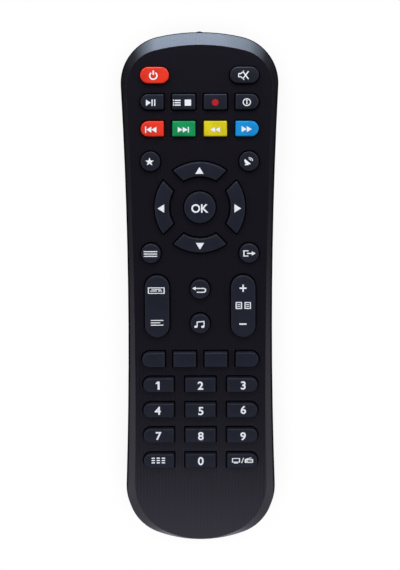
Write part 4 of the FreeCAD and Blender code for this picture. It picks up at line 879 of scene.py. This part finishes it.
# the floor's light in reflections: its strength by share of the way between two places along Y
GLOW_FROM, GLOW_TO = -110 * MM, 150 * MM
GLOW = [(0.0, 0.66), (0.06, 0.72), (0.12, 0.62), (0.16, 0.46), (0.20, 0.39), (0.31, 0.23),
        (0.46, 0.105), (0.58, 0.055), (0.68, 0.04), (0.76, 0.07), (0.84, 0.24)]
# it starts and is full at these distances from a spine along the middle, so that none of it comes
# from under the handset; the spine has this half width, and ends this far to the tail
GLOW_STARTS, GLOW_FULL = 23.6 * MM, 30.0 * MM
SPINE_HALF, SPINE_TAIL = 6.4 * MM, 65.4 * MM


def mirrored_light(shader):
    """How strongly the floor shines in reflections, by its place round the handset."""
    place = shader.split(shader.place())
    aside = shader.math("SUBTRACT", shader.math("ABSOLUTE", place["X"]), SPINE_HALF)
    beyond = shader.math("SUBTRACT", shader.math("MULTIPLY", place["Y"], -1.0), SPINE_TAIL)
    squares = [shader.math("POWER", shader.math("MAXIMUM", part, 0.0), 2.0)
               for part in (aside, beyond)]
    away = shader.math("SQRT", shader.math("ADD", *squares))
    clear = shader.range(away, GLOW_STARTS, GLOW_FULL, 0.0, 1.0)
    along = shader.range(place["Y"], GLOW_FROM, GLOW_TO, 0.0, 1.0)
    # a little more on the left, except at the head
    left = shader.range(place["X"], -30 * MM, -39 * MM, 0.0, 0.01)
    below_head = shader.range(place["Y"], 70 * MM, 50 * MM, 0.0, 1.0)
    beside = shader.math("ADD", shader.ramp(along, *GLOW),
                         shader.math("MULTIPLY", left, below_head))
    return shader.math("MULTIPLY", beside, clear)


def build_floor():
    """A pale floor: white to the lens, with a soft painted shadow where the handset stands over it.

    Reflections show it glowing unevenly beside the handset: painted light that only reflections see.
    """
    shader = Shader("floor", (0.8, 0.8, 0.8), 0.9)
    rays = shader.add("LightPath")
    sky = shader.add("AmbientOcclusion", samples=16)
    sky.inputs["Distance"].default_value = SHADOW_REACH
    white = shader.add("Emission")
    white.inputs["Strength"].default_value = 1.0
    # painted shadow: how white the floor is by its share of open sky
    shadow = shader.ramp(sky.outputs["AO"], (0.0, 0.22), (0.25, 0.60), (0.50, 0.93), (0.80, 1.0))
    shader.link(shadow, white.inputs["Color"])
    dim = shader.add("Emission")
    dim.inputs["Color"].default_value = MIRROR_GLOW
    shader.link(mirrored_light(shader), dim.inputs["Strength"])
    seen = shader.add("MixShader")
    mirrored = shader.add("MixShader")
    shader.link(rays.outputs["Is Glossy Ray"], mirrored.inputs["Fac"])
    shader.link(shader.surface.outputs["BSDF"], mirrored.inputs[1])
    shader.link(dim.outputs["Emission"], mirrored.inputs[2])
    shader.link(rays.outputs["Is Camera Ray"], seen.inputs["Fac"])
    shader.link(mirrored.outputs["Shader"], seen.inputs[1])
    shader.link(white.outputs["Emission"], seen.inputs[2])
    shader.link(seen.outputs["Shader"], shader.tree.nodes["Material Output"].inputs["Surface"])
    mesh = bmesh.new()
    bmesh.ops.create_circle(mesh, cap_ends=True, radius=FLOOR_RADIUS, segments=64)
    data = bpy.data.meshes.new("floor")
    mesh.to_mesh(data)
    mesh.free()
    data.materials.append(shader.material)
    floor = bpy.data.objects.new("floor", data)
    floor.location.z = -FLOOR_DROP
    bpy.context.scene.collection.objects.link(floor)


def build_world():
    """A dim room round the handset; a lens sees it as plain white."""
    world = bpy.data.worlds.new("room")
    bpy.context.scene.world = world
    world.use_nodes = True
    nodes, links = world.node_tree.nodes, world.node_tree.links
    room = nodes["Background"]
    room.inputs["Color"].default_value = (0.85, 0.9, 1.0, 1.0)
    room.inputs["Strength"].default_value = 0.03
    white = nodes.new("ShaderNodeBackground")
    white.inputs["Color"].default_value = (1.0, 1.0, 1.0, 1.0)
    white.inputs["Strength"].default_value = 1.0
    rays = nodes.new("ShaderNodeLightPath")
    seen = nodes.new("ShaderNodeMixShader")
    links.new(rays.outputs["Is Camera Ray"], seen.inputs["Fac"])
    links.new(room.outputs["Background"], seen.inputs[1])
    links.new(white.outputs["Background"], seen.inputs[2])
    links.new(seen.outputs["Shader"], nodes["World Output"].inputs["Surface"])


# the strip near the head fills the head's bevel and stays out of the face; its shares of light are
# given by millimetres across, from the handset's left to its right
STRIP_WIDTH = 140.0           # millimetres
STRIP_HEIGHT = 18.5 * MM
STRIP_LIGHT = [
    (-68, 0.0), (-59, 0.03), (-53, 0.06), (-44.5, 0.22), (-38.5, 0.38), (-34, 0.46), (-29, 0.65),
    (-24, 0.97), (11.5, 1.0), (16, 0.84), (20.5, 0.75), (25.5, 0.71), (31, 0.60), (37, 0.39),
    (44, 0.26), (50, 0.19), (62, 0.05), (69, 0.0),
]


def softbox(name, place, target, size, power, colour=(1.0, 1.0, 1.0), across=()):
    """A rectangular area light that faces the target.

    Its power is in watts, and across gives its share of light over its width, as fill_ramp takes
    stops.
    """
    light = bpy.data.lights.new(name, "AREA")
    light.shape = "RECTANGLE"
    light.size, light.size_y = size
    light.energy = power
    light.color = colour
    if across:
        light.use_nodes = True
        nodes, links = light.node_tree.nodes, light.node_tree.links
        spot = nodes.new("ShaderNodeNewGeometry")
        parts = nodes.new("ShaderNodeSeparateXYZ")
        ramp = nodes.new("ShaderNodeValToRGB")
        links.new(spot.outputs["Parametric"], parts.inputs["Vector"])
        links.new(parts.outputs["X"], ramp.inputs["Fac"])
        links.new(ramp.outputs["Color"], nodes["Emission"].inputs["Color"])
        fill_ramp(ramp, across)
    thing = bpy.data.objects.new(name, light)
    thing.location = place
    thing.rotation_euler = (Vector(target) - Vector(place)).to_track_quat("-Z", "Y").to_euler()
    bpy.context.scene.collection.objects.link(thing)


def build_lights():
    """Soft boxes at both sides, beyond the head and beyond the tail, and a strip near the head."""
    for side, x in (("left", -0.85), ("right", 0.85)):
        softbox(f"{side}_box", place=(x, 0.10, 0.62), target=(0, 0, 0), size=(2.0, 0.9), power=6.3,
                colour=(0.98, 1.0, 1.035))
    softbox("top_box", place=(0.0, 0.80, 0.66), target=(0, 0, 0), size=(1.3, 0.6), power=6.6)
    shares = [(0.5 - x / STRIP_WIDTH, share) for x, share in reversed(STRIP_LIGHT)]
    softbox("head_strip", place=(0.0, 115 * MM, STRIP_HEIGHT), target=(0.0, 0.0, STRIP_HEIGHT),
            size=(STRIP_WIDTH * MM, 25 * MM), power=0.105, colour=(0.66, 0.80, 1.0), across=shares)
    softbox("tail_box", place=(0.0, -0.50, 0.78), target=(0, -0.03, 0.0), size=(0.8, 0.38),
            power=1.34, colour=(0.80, 0.79, 1.0))


CAMERA_PLACE = (0.08 * MM, 39.75 * MM, 450.0 * MM)
CAMERA_TILT = -5.0           # degrees about X, the top of the picture towards the head end
CAMERA_ROLL = 0.17           # degrees
CAMERA_LENS = 83.23          # millimetres, for a 36 mm upright frame


def build_camera():
    """The photo's view: from above the key face, a little to the head end."""
    camera = bpy.data.cameras.new("camera")
    camera.sensor_fit = "VERTICAL"
    camera.sensor_height = 36.0
    camera.lens = CAMERA_LENS
    camera.clip_start = 0.01
    thing = bpy.data.objects.new("camera", camera)
    thing.location = CAMERA_PLACE
    thing.rotation_euler = (math.radians(CAMERA_TILT), 0.0, math.radians(-CAMERA_ROLL))
    bpy.context.scene.collection.objects.link(thing)
    bpy.context.scene.camera = thing


build_floor()
build_world()
build_lights()
build_camera()
bpy.context.scene.view_settings.view_transform = "Standard"
